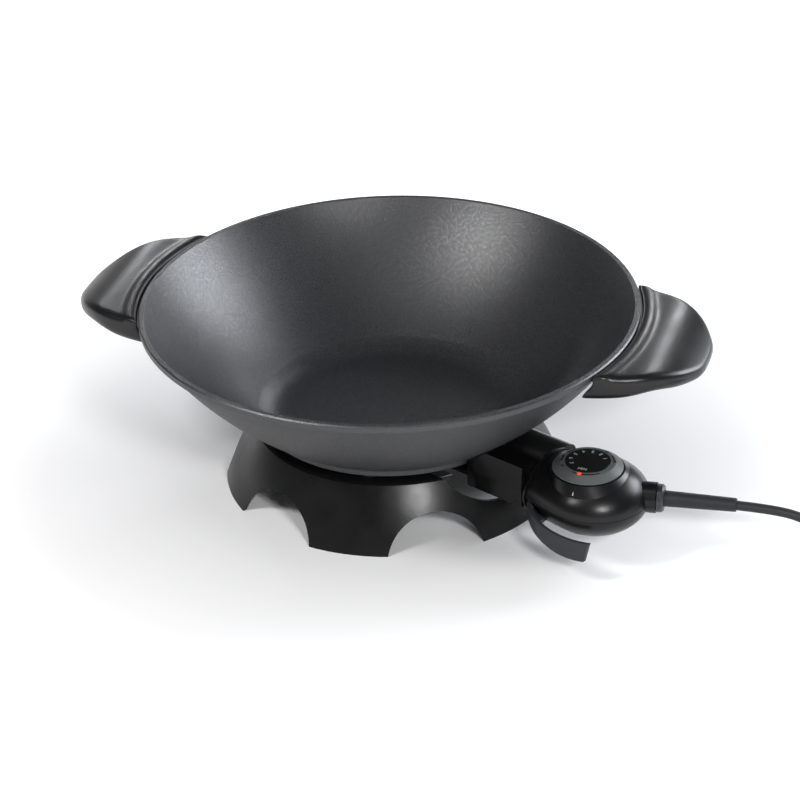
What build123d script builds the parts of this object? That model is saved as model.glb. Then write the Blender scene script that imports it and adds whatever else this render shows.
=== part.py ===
from build123d import *

import os
from math import asin, atan2, cos, degrees, hypot, pi, radians, sin, sqrt, tan

# Electric wok: a cast bowl with a heating element under its floor, on a moulded base skirt,
# with two side handles and a plug-in thermostat that has a dial and a release lever.
# Millimetres, +Z up. The origin is on the worktop, under the middle of the bowl.
# +X runs along the handles. The thermostat plugs in along its own axis, PLUG_AZIMUTH from +X.

os.makedirs("parts", exist_ok=True)

# ---------------------------------------------------------------- driving dimensions: bowl

RIM_RADIUS = 180.0  # outside of the rim band
RIM_HEIGHT = 137.5  # top of the rim above the worktop
RIM_BAND = 5.5  # height of the band round the rim
RIM_CHAMFER = 0.9  # broken edges of the rim band
RIM_STEP = 4.0  # how far the band stands out from the wall
WALL = 3.2  # bowl wall
WALL_BULGE = 5.4  # how far the wall's arc bows out from its chord
BOWL_FOOT_RADIUS = 97.5  # turned band at the foot of the bowl
BOWL_FOOT_STEP = 4.0  # how far the wall starts outside that band
BOWL_FOOT_BAND = 7.0  # height of the band
FOOT_BAND_WIDTH = 5.5  # width of the band's lower face
FOOT_BAND_SLOPE = 2.0  # slope from that face to the floor's underside
FLOOR_DROP = 2.5  # the floor's underside lies this far below the band
FLOOR_THICKNESS = 4.5
FLOOR_FILLET = 38.0  # round between the floor and the wall, inside

# heating element under the floor
ELEMENT_RADIUS = 60.0  # radius of the ring
ELEMENT_DROP = 3.5  # its middle line below the floor's underside
SHEATH_RADIUS = 4.0  # radius of the tube
ELEMENT_BEND = 14.0  # bend from the ring to its straight legs
LEG_SPACING = 24.0  # between the two legs
LEG_SETBACK = 1.5  # ends of the legs inside the bowl's foot circle
ELEMENT_RIB_WIDTH = 14.0  # rib that the ring is set in
SHEATH_GAP = 0.05  # groove round the sheath

# connection in the bowl
PLUG_AZIMUTH = -24.0  # direction of the thermostat's plug, from +X
PIN_RADIUS = 2.3
PIN_SETBACK = 9.0  # tips of the terminal pins inside the guard's mouth
BEAD_RADIUS = 3.4  # ceramic bead that closes the sheath
BEAD_LENGTH = 5.0
BLOCK_GAP = 4.0  # from the end of the sheath to the terminal block
BLOCK_THICKNESS = 4.0
BLOCK_HALF_WIDTH = 19.0
BLOCK_HALF_HEIGHT = 7.0
BLOCK_CORNER = 3.0
PROBE_RADIUS = 3.5
PROBE_SETBACK = 11.0  # tip of the temperature probe outside the element's ring
PROBE_GAP = 0.4  # clearance round the probe
PROBE_BOSS_HALF_WIDTH = 7.4
PROBE_BOSS_LENGTH = 24.0
PROBE_BOSS_WALL = 5.0  # closed end of the boss, and its floor below the plug axis

# ---------------------------------------------------------------- driving dimensions: base

SKIRT_FOOT_RADIUS = 124.0
SKIRT_TOP_RADIUS = 98.0
SKIRT_TOP = 45.0
SKIRT_LIP = 2.5  # sloping lip at the top edge of the skirt
SKIRT_LIP_DROP = 0.9
SKIRT_BULGE = 1.5  # how far the flare bows out from its chord
SKIRT_WALL = 3.0
FLANGE_THICKNESS = 3.5
FLANGE_GAP = 2.0  # from the base's flange up to the bowl's floor, and inside it to the shield
ARCHES = 6
ARCH_RADIUS = 36.4
ARCH_DEPTH = 9.9  # centre of an arch's circle below the worktop
ARCH_FIRST = 25.5  # first arch, from the plug axis, in degrees
NOTCH_HALF_WIDTH = 48.0  # cut-out in the skirt round the connector
NOTCH_HALF_HEIGHT = 30.0
NOTCH_RISE = 5.0  # centre of the cut-out above the skirt
RIB_THICKNESS = 2.5
RIB_BOTTOM = 3.0  # lower end of a rib above the worktop
RIB_GAP = 3.0  # between the heat shield and a rib
RIB_WAIST = 4.0  # where a rib's inner edge turns outwards
RIB_WAIST_DROP = 15.5
BASE_SCREW_RADIUS = 2.0
BASE_SCREW_INSET = 8.0  # screws inside the rim of the heat shield
BASE_SCREWS = 3
BASE_BOSS_RADIUS = 7.0
SCREW_CLEARANCE = 0.2
SCREW_HEAD_HEIGHT = 2.4
SCREW_HEAD_RATIO = 1.9  # head radius over shank radius
SCREW_BITE = 2.0  # how deep a hole runs on past the boss
SCREW_TIP_GAP = 0.5
SHIELD_SHEET = 0.8
SHIELD_RIM_INSET = 6.0  # rim of the shield inside the skirt's top edge
SHIELD_WALL_GAP = 13.0  # from the element's ring to the shield's wall
SHIELD_SLOPE = 4.0
SHIELD_DEPTH = 9.5
SHIELD_GATE_HALF_WIDTH = 34.0  # open side towards the connector
SHIELD_GATE_START = 55.0

# ---------------------------------------------------------------- driving dimensions: handles

HANDLE_PROUD = 54.0  # how far a handle stands out from the rim
HANDLE_HALF_WIDTH = 72.0  # half width of a handle at the rim
HANDLE_DEPTH = 20.0  # height of a handle at the rim
HANDLE_GAP = 4.6  # between the bowl's wall and a handle
HANDLE_STRIP = 4.2  # width of the raised strip beside the rim
HANDLE_STRIP_RISE = 0.4  # top of that strip above the rim
HANDLE_UPPER_EDGE = 4.5  # rounding of a handle's upper edge
HANDLE_LOWER_EDGE = 7.5
# outline from the rim to the tip: shares of HANDLE_PROUD and of HANDLE_HALF_WIDTH
HANDLE_OUTLINE = [(-0.204, 0.999), (0.093, 0.944), (0.333, 0.875), (0.574, 0.75), (0.778, 0.576)]
HANDLE_SHOULDER = (0.917, 0.375)
# upper and lower line: shares of HANDLE_PROUD and of HANDLE_DEPTH, from the top of the rim
HANDLE_TOP_LINE = [(-0.037, -0.04), (0.185, -0.055), (0.389, -0.07), (0.611, -0.19), (0.815, -0.405)]
HANDLE_UNDER_LINE = [(0.852, -1.145), (0.667, -0.975), (0.426, -0.825), (0.185, -0.925), (-0.148, -0.995)]
HANDLE_TIP = (1.037, -0.75, -1.275)
HANDLE_ROOT = (-0.6, -0.03, -1.025)
HANDLE_ROOT_FLARE = 1.035  # width at the root, hidden in the bowl's clearance
LUG_HALF_WIDTH = 14.0
LUG_DROP = 7.5  # top of a lug below the rim
LUG_THICKNESS = 5.8
LUG_PROUD = 17.0  # end of a lug beyond the rim
LUG_GAP = 0.3
HANDLE_SCREW_PROUD = 7.0
HANDLE_SCREW_SPACING = 15.0
HANDLE_SCREW_RADIUS = 1.8
HANDLE_SCREW_FLOOR = 2.0  # plastic between a lug and the head of a screw

# ---------------------------------------------------------------- driving dimensions: guard

GUARD_HALF_WIDTH = 31.5
GUARD_RISE = 19.5  # top of the guard above the plug axis
GUARD_SHOULDER_RISE = 4.9  # crease along the guard's side above the plug axis
GUARD_DROP = 8.0  # lower edge of the guard's side below the plug axis
GUARD_DRAFT = 0.5  # the sides lean in towards their lower edge
# bends of its arched top: shares of the half width and of the rise
GUARD_CORNER = (0.889, 0.805)
GUARD_BROW = (0.603, 0.959)
GUARD_WALL = 2.5
GUARD_LENGTH = 49.0
GUARD_BOWL_GAP = 1.0
COLLAR_THICKNESS = 3.0  # closed collar at the guard's mouth
COLLAR_HALF_HEIGHT = 20.6
GUARD_TAB_GAP = 3.0  # tabs clear the inside of the base's flange
GUARD_TAB_INNER = 19.0
GUARD_TAB_THICKNESS = 3.0
GUARD_TAB_RISE = 1.5  # top of the tabs above the skirt
GUARD_SCREW_INSET = 6.0
GUARD_SCREW_W = 24.5
GUARD_SCREW_RADIUS = 1.8
GUARD_BOSS_RADIUS = 4.6

# ---------------------------------------------------------------- driving dimensions: thermostat

DOCK_GAP = 0.6  # between the guard's mouth and the thermostat's flange
FLANGE_RIM = 1.5  # thickness of that flange
NOSE_HALF_WIDTH = 29.5
NOSE_HALF_HEIGHT = 21.0
FLANGE_PROUD = 1.4  # how far the flange stands out round the nose
SHELL = 2.2  # housing wall
EGG_HALF_WIDTH = 38.5
EGG_HALF_HEIGHT = 24.4
EGG_RISE = 1.5  # parting line above the plug axis
EGG_SHIFT = 5.0  # widest point behind the dial, towards the cord
PARTING_GAP = 0.15
LAP_HEIGHT = 1.8
LAP_SHARE = 0.55  # how much of the wall the upper shell's lap takes away
DIAL_SETBACK = 34.0  # dial axis behind the guard's mouth
SEAT_RADIUS = 26.0
SEAT_SHARE = 0.873  # height of the dial's seat over the ball's half height
SEAT_ROOT_SHARE = 0.512  # height at which the seat's skirt leaves the ball
SEAT_SINK = 0.6  # how far that skirt starts inside the ball
CORD_EXIT_TURN = 28.5  # the cord leaves at this angle to the plug axis
CORD_EXIT_RISE = 3.5  # the cord's exit above the plug axis
TAIL_RADIUS = 10.9
TAIL_LENGTH = 9.9  # the housing's tail beyond the ball

PLUG_BLOCK_REACH = 24.0  # how far the plug block goes into the guard's mouth
PLUG_BLOCK_HALF_WIDTH = 24.5
PLUG_BLOCK_HALF_HEIGHT = 8.0
PLUG_BLOCK_CORNER = 6.9
PLUG_BLOCK_GAP = 1.2  # in the guard's mouth
PLUG_SEAT_GAP = 0.1  # in the housing's nose
PLUG_FLANGE_PROUD = 2.0
PLUG_FLANGE_THICKNESS = 2.4
PLUG_GROOVE_WIDTH = 1.6
PLUG_GROOVE_DEPTH = 0.6
SLEEVE_RADIUS = 3.8
SLEEVE_INSET = 1.0  # sleeves inside the face of the plug block
LUG_TAIL_LENGTH = 7.0  # flat tails of the sleeves
LUG_TAIL_WIDTH = 5.0
LUG_TAIL_THICKNESS = 0.8
SEAT_FIT = 0.05  # round pieces that sit in holes of the same body
CONTACT_GAP = 0.08  # between a terminal pin and its sleeve
PROBE_TUBE_WALL = 0.9
PROBE_TUBE_TIP = 2.0  # closed end of the tube
PROBE_TUBE_BACK = 11.0  # end of the tube behind the guard's mouth
PUSH_ROD_RADIUS = 1.6
PUSH_ROD_PROUD = 7.0  # beyond the probe tube
FRAME_SHEET = 1.5  # switch frame
FRAME_LEG_GAP = 0.5  # from the probe tube to the frame's leg
FRAME_TAIL = 16.0  # end of the frame beyond the dial axis
FRAME_HALF_WIDTH = 9.0
FRAME_LEG_DROP = 6.5
STACK_GAP = 8.5  # insulating stack that holds the blades, from the frame's leg
STACK_LENGTH = 7.0
STACK_HALF_WIDTH = 6.0
STACK_DROP = 0.5
BLADE_THICKNESS = 0.5
BLADE_HALF_WIDTH = 2.8
BLADE_GAP = 0.4  # from the spindle to the upper blade
BLADE_SPACING = 3.6
BLADE_TAIL = 15.0  # end of the blades beyond the dial axis
CONTACT_RADIUS = 2.0
CONTACT_HEIGHT = 1.3
CONTACT_SETBACK = 3.0  # contacts inside the ends of the blades
CLAMP_INSET = 14.5  # cord clamp inside the ball
CLAMP_LENGTH = 7.0
CLAMP_HALF_WIDTH = 9.0
CLAMP_HEIGHT = 6.0
CLAMP_CORNER = 2.0
CLAMP_SCREW_SPACING = 12.5
CLAMP_SCREW_RADIUS = 1.3

DIAL_LIFT = 0.5  # knob above its seat
DIAL_HEIGHT = 5.2
DIAL_RADIUS = 24.8
DIAL_FACE_RADIUS = 16.0
DIAL_BAND_RADIUS = 19.4  # band between the face and the sloping grip
DIAL_GRIP = 0.9  # upright part of the grip, above its lower edge
DIAL_FACE_THICKNESS = 0.8
DIAL_FACE_GAP = 0.1
DIAL_WALL = 1.8
DIAL_RIB = 1.2
DIAL_RIBS = 6
DIAL_RIB_TURN = 20.0  # first rib, from the plug axis, in degrees
HUB_RADIUS = 7.0
HUB_DROP = 5.3  # hub below the knob
HUB_GAP = 0.5
SPINDLE_RADIUS = 3.0
SPINDLE_SETBACK = 2.5  # end of the spindle below the dial's face
SPINDLE_DROP = 4.5  # end of the spindle below its bush
SPINDLE_FIT = 0.02
BUSH_RADIUS = 5.0
BUSH_HEIGHT = 5.5
RUNNING_GAP = 0.06
LAMP_RADIUS = 1.6
LAMP_CIRCLE = 17.9  # lamp from the dial axis
LAMP_TURN = -72.0  # lamp round the dial, from the plug axis
LAMP_FOOT = 0.6  # lens below the knob's top wall
NEON_RADIUS = 2.4
NEON_GAP = 4.3  # neon lamp below the knob
NEON_LENGTH = 13.5

LEVER_OFFSET = 8.0  # middle of the lever's wing, outside the ball
LEVER_THICKNESS = 2.4
LEVER_WEB_START = -131.0  # web from and to, in degrees about the ball's axis
LEVER_WEB_STOP = -112.0
LEVER_PIVOT_SETBACK = 20.0  # pivot before the dial axis
LEVER_PIVOT_W = -20.0
LEVER_HUB_RADIUS = 4.2
LEVER_HUB_DROP = 4.0  # all drops are below the parting line
LEVER_WEB_DROP = 13.0
LEVER_WEB_HEIGHT = 4.0
LEVER_ARM_DROP = 16.0
LEVER_ARM_HEIGHT = 3.8
LEVER_PIN_RADIUS = 1.5
LEVER_PIN_DROP = 17.4
LEVER_PIN_LENGTH = 20.4
LEVER_FINGER_W = -6.0
LEVER_FINGER_RADIUS = 3.5
LEVER_FINGER_GAP = 2.1  # finger from the guard's mouth at rest
LEVER_GAP = 1.0  # between the lever and the housing
LEVER_TRAVEL = 8.0  # degrees
# side view of the wing: shares of the ball's half width, from the dial axis and the parting line
WING_LOWER = [(-0.753, -0.26), (-0.597, -0.364), (-0.169, -0.514), (0.309, -0.626), (0.701, -0.668)]
WING_UPPER = [(0.774, -0.294), (0.387, -0.249), (-0.086, -0.19), (-0.514, -0.119), (-0.753, -0.073)]
SPRING_WIRE = 0.4
SPRING_RADIUS = 2.6
SPRING_TURNS = 2

# screws of the housing: shares of the ball's half width, from the dial axis
HOUSING_SCREW_SPOTS = [(-0.416, 0.571), (0.26, 0.753), (0.312, -0.675)]
HOUSING_SCREW_RADIUS = 1.4
HOUSING_POST_RADIUS = 3.6
HOUSING_HEAD_RATIO = 1.75  # head radius over shank radius
HOUSING_SCREW_DEPTH = 6.0  # into the upper shell
HOUSING_HEAD_DROP = 9.0  # heads below the parting line

GLAND_RADIUS = 9.9
GLAND_LENGTH = 4.6
GLAND_STEM_RADIUS = 7.2
GLAND_STEM_LENGTH = 8.0
GLAND_CHAMFER = 1.3
RELIEF_ROOT_RADIUS = 5.7
RELIEF_TIP_RADIUS = 4.8
RELIEF_LENGTH = 50.0
RELIEF_SOCKET = 5.0
RELIEF_EDGE = 1.0
CORD_RADIUS = 3.4

# ---------------------------------------------------------------- driving dimensions: cord

LEAD_INSET = 25.6  # the lead starts inside the strain relief
LEAD_STRAIGHT = 21.4  # from the strain relief to the first bend
# the lead's fall to the worktop, past that bend: shares of the exit's height, along and up
LEAD_FALL = [(0.63, 0.864), (1.187, 0.432), (1.645, 0.132), (2.115, 0.079)]
ROUTE_ARC_SHARE = 0.45  # share of the shorter run that an arc takes up
COIL_INNER_RADIUS = 31.5
COIL_OUTER_RADIUS = 45.5
COIL_HEIGHT = 14.0
COIL_EDGE = 3.0
CORD_LIFT = 0.3  # cord above the worktop
COIL_LIFT = 0.1
# middle of the coil from the end of the lead: shares of the coil's outer radius
COIL_OFFSET = (0.152, 0.925)
# from the coil to the mains plug: shares of the coil's outer radius, from its middle
TAIL_RUN = [(0.868, 0.316), (0.741, 0.829), (0.716, 1.356), (0.76, 1.879), (0.804, 2.363), (0.844, 2.802)]
TAIL_DIP = 1.82  # heights of the tail's bends over the cord's radius
TAIL_CLIMB = 2.82

# mains plug, measured from where its cord enters
MAINS_BODY_RADIUS = 18.7
MAINS_BODY_START = 45.0
MAINS_BODY_END = 56.0
MAINS_GRIP_RADIUS = 13.5
MAINS_GRIP_START = 26.0
MAINS_TAIL_RADIUS = 5.0
MAINS_STEP = 2.0
MAINS_PIN_RADIUS = 2.4
MAINS_PIN_ROOT_RADIUS = 1.8  # the part that is moulded into the body
MAINS_PIN_ROOT = 8.0
MAINS_PIN_LENGTH = 19.0
MAINS_PIN_SPACING = 19.0
MAINS_CLIP_WIDTH = 7.0
MAINS_CLIP_THICKNESS = 0.9
MAINS_CLIP_GROOVE = 2.6
MAINS_CLIP_INSET = 1.0

# ---------------------------------------------------------------- heights that follow

FLANGE_UNDERSIDE = SKIRT_TOP - FLANGE_THICKNESS
FLOOR_UNDERSIDE = SKIRT_TOP + FLANGE_GAP
FLOOR_TOP = FLOOR_UNDERSIDE + FLOOR_THICKNESS
BOWL_FOOT_BOTTOM = FLOOR_UNDERSIDE + FLOOR_DROP
BOWL_FOOT_TOP = BOWL_FOOT_BOTTOM + BOWL_FOOT_BAND
PLUG_HEIGHT = FLOOR_UNDERSIDE - ELEMENT_DROP
SHIELD_FLOOR = FLANGE_UNDERSIDE - SHIELD_DEPTH
HANDLE_STRIP_TOP = RIM_HEIGHT + HANDLE_STRIP_RISE
LUG_TOP = RIM_HEIGHT - LUG_DROP
LUG_BOTTOM = LUG_TOP - LUG_THICKNESS
HANDLE_LOW = RIM_HEIGHT - 2 * HANDLE_DEPTH
HANDLE_HIGH = RIM_HEIGHT + HANDLE_DEPTH
GUARD_CROWN = PLUG_HEIGHT + GUARD_RISE
GUARD_SHOULDER = PLUG_HEIGHT + GUARD_SHOULDER_RISE
GUARD_SKIRT = PLUG_HEIGHT - GUARD_DROP
GUARD_TAB_TOP = SKIRT_TOP + GUARD_TAB_RISE
EGG_HEIGHT = PLUG_HEIGHT + EGG_RISE
EGG_TOP = EGG_HEIGHT + 2 * EGG_HALF_HEIGHT
EGG_BOTTOM = EGG_HEIGHT - 2 * EGG_HALF_HEIGHT
SEAT_TOP = EGG_HEIGHT + SEAT_SHARE * EGG_HALF_HEIGHT
CORD_EXIT_HEIGHT = PLUG_HEIGHT + CORD_EXIT_RISE
DIAL_BASE = SEAT_TOP + DIAL_LIFT
DIAL_TOP = DIAL_BASE + DIAL_HEIGHT
FACE_FLOOR = DIAL_TOP - DIAL_FACE_THICKNESS
HUB_BOTTOM = DIAL_BASE - HUB_DROP
SPINDLE_TOP = DIAL_TOP - SPINDLE_SETBACK
BUSH_TOP = HUB_BOTTOM - HUB_GAP
BUSH_BOTTOM = BUSH_TOP - BUSH_HEIGHT
SPINDLE_BOTTOM = BUSH_BOTTOM - SPINDLE_DROP
FRAME_TOP = BUSH_BOTTOM
FRAME_LEG_BOTTOM = PLUG_HEIGHT - FRAME_LEG_DROP
STACK_TOP = FRAME_TOP - FRAME_SHEET
STACK_BOTTOM = PLUG_HEIGHT - STACK_DROP
BLADE_TOP = SPINDLE_BOTTOM - BLADE_GAP
NEON_TOP = DIAL_BASE - NEON_GAP
NEON_BOTTOM = NEON_TOP - NEON_LENGTH
LEVER_HUB_TOP = EGG_HEIGHT - LEVER_HUB_DROP
LEVER_WEB_BOTTOM = EGG_HEIGHT - LEVER_WEB_DROP
LEVER_WEB_TOP = LEVER_WEB_BOTTOM + LEVER_WEB_HEIGHT
LEVER_ARM_BOTTOM = EGG_HEIGHT - LEVER_ARM_DROP
LEVER_ARM_TOP = LEVER_ARM_BOTTOM + LEVER_ARM_HEIGHT
LEVER_PIN_BOTTOM = EGG_HEIGHT - LEVER_PIN_DROP
LEVER_PIN_TOP = LEVER_PIN_BOTTOM + LEVER_PIN_LENGTH
HEAD_SEAT = EGG_HEIGHT - HOUSING_HEAD_DROP
MAINS_HEIGHT = MAINS_BODY_RADIUS + COIL_LIFT

# ---------------------------------------------------------------- places along the plug axis that follow

SHIELD_WALL_RADIUS = ELEMENT_RADIUS + SHIELD_WALL_GAP
SHIELD_RIM_RADIUS = SKIRT_TOP_RADIUS - SHIELD_RIM_INSET
BASE_SCREW_CIRCLE = SHIELD_RIM_RADIUS - BASE_SCREW_INSET
FLANGE_INNER_RADIUS = SHIELD_WALL_RADIUS + FLANGE_GAP
RIB_TOP_RADIUS = SHIELD_RIM_RADIUS + RIB_GAP
LEG_END = BOWL_FOOT_RADIUS - LEG_SETBACK
BLOCK_START = LEG_END + BLOCK_GAP
PROBE_TIP = ELEMENT_RADIUS + PROBE_SETBACK
PROBE_BOSS_START = PROBE_TIP - PROBE_BOSS_WALL
GUARD_TAB_START = FLANGE_INNER_RADIUS + GUARD_TAB_GAP
GUARD_SCREW_U = GUARD_TAB_START + GUARD_SCREW_INSET
GUARD_START = BOWL_FOOT_RADIUS - GUARD_DRAFT
GUARD_END = GUARD_START + GUARD_LENGTH
PIN_END = GUARD_END - PIN_SETBACK
FLANGE_FACE = GUARD_END + DOCK_GAP
NOSE_FACE = FLANGE_FACE + FLANGE_RIM
SEAT_FACE = NOSE_FACE + SHELL
PLUG_BACK = SEAT_FACE + PLUG_FLANGE_THICKNESS
PLUG_BLOCK_START = GUARD_END - PLUG_BLOCK_REACH
SLEEVE_START = PLUG_BLOCK_START + SLEEVE_INSET
SLEEVE_END = SEAT_FACE + SLEEVE_INSET / 2
LUG_TAIL_END = SLEEVE_END + LUG_TAIL_LENGTH
PROBE_TUBE_END = GUARD_END + PROBE_TUBE_BACK
PUSH_ROD_END = PROBE_TUBE_END + PUSH_ROD_PROUD
DIAL_U = GUARD_END + DIAL_SETBACK
FRAME_LEG_U = PROBE_TUBE_END + FRAME_LEG_GAP
FRAME_END = DIAL_U + FRAME_TAIL
STACK_START = FRAME_LEG_U + STACK_GAP
STACK_END = STACK_START + STACK_LENGTH
BLADE_END = DIAL_U + BLADE_TAIL
LEVER_PIVOT_U = DIAL_U - LEVER_PIVOT_SETBACK
LEVER_RADIUS = EGG_HALF_WIDTH + LEVER_OFFSET
# along the cord's exit, from the dial axis
TAIL_END = EGG_HALF_WIDTH + TAIL_LENGTH
CLAMP_START = EGG_HALF_WIDTH - CLAMP_INSET
CLAMP_END = CLAMP_START + CLAMP_LENGTH
GLAND_START = TAIL_END + DOCK_GAP
STEM_START = GLAND_START - GLAND_STEM_LENGTH
GLAND_END = GLAND_START + GLAND_LENGTH
RELIEF_START = GLAND_END - RELIEF_SOCKET
RELIEF_END = GLAND_END + RELIEF_LENGTH
LEAD_START = RELIEF_END - LEAD_INSET
LEAD_BEND = RELIEF_END + LEAD_STRAIGHT

# ---------------------------------------------------------------- directions and planes

PLUG_DIR = Vector(cos(radians(PLUG_AZIMUTH)), sin(radians(PLUG_AZIMUTH)), 0)
SIDE_DIR = Vector(-PLUG_DIR.Y, PLUG_DIR.X, 0)
UP = Vector(0, 0, 1)
EXIT_AZIMUTH = PLUG_AZIMUTH + CORD_EXIT_TURN
EXIT_DIR = Vector(cos(radians(EXIT_AZIMUTH)), sin(radians(EXIT_AZIMUTH)), 0)
DIAL_CENTRE = PLUG_DIR * DIAL_U
EGG_U = DIAL_U + EGG_SHIFT * cos(radians(CORD_EXIT_TURN))
EGG_W = EGG_SHIFT * sin(radians(CORD_EXIT_TURN))
EGG_CENTRE = PLUG_DIR * EGG_U + SIDE_DIR * EGG_W
LEG_OFFSET = LEG_SPACING / 2


def plug_point(along, aside, height):
    """A point given along the plug axis, aside from it and above the worktop."""
    return PLUG_DIR * along + SIDE_DIR * aside + UP * height


def plug_floor(height):
    """A level plane whose x runs along the plug axis."""
    return Plane(origin=(0, 0, height), x_dir=PLUG_DIR, z_dir=UP)


def plug_section(along):
    """An upright plane across the plug axis: x runs aside, y up."""
    return Plane(origin=PLUG_DIR * along, x_dir=SIDE_DIR, z_dir=PLUG_DIR)


def exit_section(along):
    """An upright plane across the cord's exit, centred on it, measured from the dial axis."""
    origin = DIAL_CENTRE + EXIT_DIR * along + UP * CORD_EXIT_HEIGHT
    return Plane(origin=origin, x_dir=UP.cross(EXIT_DIR), z_dir=EXIT_DIR)


def arc_through(start, end, bulge):
    """Centre and radius of an arc that bows outwards and downwards from its chord."""
    chord = hypot(end[0] - start[0], end[1] - start[1])
    along = ((end[0] - start[0]) / chord, (end[1] - start[1]) / chord)
    outward = (abs(along[1]), -along[0])
    radius = (chord**2 / 4 + bulge**2) / (2 * bulge)
    middle = ((start[0] + end[0]) / 2, (start[1] + end[1]) / 2)
    centre = (middle[0] - outward[0] * (radius - bulge), middle[1] - outward[1] * (radius - bulge))
    crest = (middle[0] + outward[0] * bulge, middle[1] + outward[1] * bulge)
    return centre, radius, crest


# ---------------------------------------------------------------- bowl wall, shared by its neighbours

WALL_FOOT = (BOWL_FOOT_RADIUS + BOWL_FOOT_STEP, BOWL_FOOT_TOP)
WALL_HEAD = (RIM_RADIUS - RIM_STEP, RIM_HEIGHT - RIM_BAND)
WALL_CENTRE, WALL_RADIUS, WALL_CREST = arc_through(WALL_FOOT, WALL_HEAD, WALL_BULGE)


def wall_at(height, outset=0.0):
    """Radius of the bowl's wall at a height, moved out by outset."""
    reach = WALL_RADIUS + outset
    return WALL_CENTRE[0] + sqrt(reach**2 - (height - WALL_CENTRE[1]) ** 2)


def bowl_clearance(gap, bottom, top):
    """The space that a neighbour leaves free round the bowl's wall."""
    middle = (bottom + top) / 2
    with BuildPart() as clearance:
        with BuildSketch(Plane.YZ):
            with BuildLine():
                ThreePointArc(
                    (wall_at(bottom, gap), bottom),
                    (wall_at(middle, gap), middle),
                    (wall_at(top, gap), top),
                )
                Polyline(
                    (wall_at(top, gap), top),
                    (0, top),
                    (0, bottom),
                    (wall_at(bottom, gap), bottom),
                )
            make_face()
        revolve(axis=Axis.Z)
    return clearance.part


def element_path():
    """Middle line of the heating element: leg, bend, ring, bend, leg."""
    level = plug_floor(PLUG_HEIGHT)
    bend_aside = LEG_OFFSET + ELEMENT_BEND
    bend_along = sqrt((ELEMENT_RADIUS + ELEMENT_BEND) ** 2 - bend_aside**2)
    bend_turn = 90 - degrees(atan2(bend_aside, bend_along))
    ring_start = degrees(atan2(bend_aside, bend_along))
    with BuildLine(level) as path:
        leg = Line((LEG_END, LEG_OFFSET), (bend_along, LEG_OFFSET))
        bend = JernArc(leg @ 1, leg % 1, ELEMENT_BEND, -bend_turn)
        ring = JernArc(bend @ 1, bend % 1, ELEMENT_RADIUS, 360 - 2 * ring_start)
        back = JernArc(ring @ 1, ring % 1, ELEMENT_BEND, -bend_turn)
        Line(back @ 1, level.from_local_coords(Vector(LEG_END, -LEG_OFFSET, 0)))
    return path.line


def element_tube(radius):
    """The heating element's tube, at a given radius."""
    with BuildPart() as tube:
        with BuildLine():
            add(element_path())
        with BuildSketch(plug_section(LEG_END)):
            with Locations((LEG_OFFSET, PLUG_HEIGHT)):
                Circle(radius)
        sweep()
    return tube.part


def ring_of_screws(places, shank, length, level, plane, head_ratio=SCREW_HEAD_RATIO):
    """Pan-head screws driven up from below, as separate solids."""
    with BuildPart() as screws:
        for place in places:
            with BuildSketch(plane(level - SCREW_HEAD_HEIGHT)):
                with Locations(place):
                    Circle(shank * head_ratio)
            extrude(amount=SCREW_HEAD_HEIGHT)
            with BuildSketch(plane(level)):
                with Locations(place):
                    Circle(shank)
            extrude(amount=length)
    return screws.part


# ---------------------------------------------------------------- bowl

BASE_SCREW_PLACES = [
    (
        BASE_SCREW_CIRCLE * cos(radians(180 + 360 / BASE_SCREWS * n)),
        BASE_SCREW_CIRCLE * sin(radians(180 + 360 / BASE_SCREWS * n)),
    )
    for n in range(BASE_SCREWS)
]
GUARD_SCREW_PLACES = [(GUARD_SCREW_U, GUARD_SCREW_W), (GUARD_SCREW_U, -GUARD_SCREW_W)]
HANDLE_SCREW_X = RIM_RADIUS + HANDLE_SCREW_PROUD
HANDLE_SCREW_PLACES = [
    (side * HANDLE_SCREW_X, end * HANDLE_SCREW_SPACING / 2) for side in (1, -1) for end in (1, -1)
]
LUG_REACH = RIM_RADIUS + LUG_PROUD
BASE_SCREW_DEPTH = FLOOR_UNDERSIDE - SKIRT_TOP + SCREW_BITE
INNER_RIM = wall_at(RIM_HEIGHT, -WALL)
INNER_FLOOR = wall_at(FLOOR_TOP, -WALL)
INNER_MIDDLE = (RIM_HEIGHT + FLOOR_TOP) / 2

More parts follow.
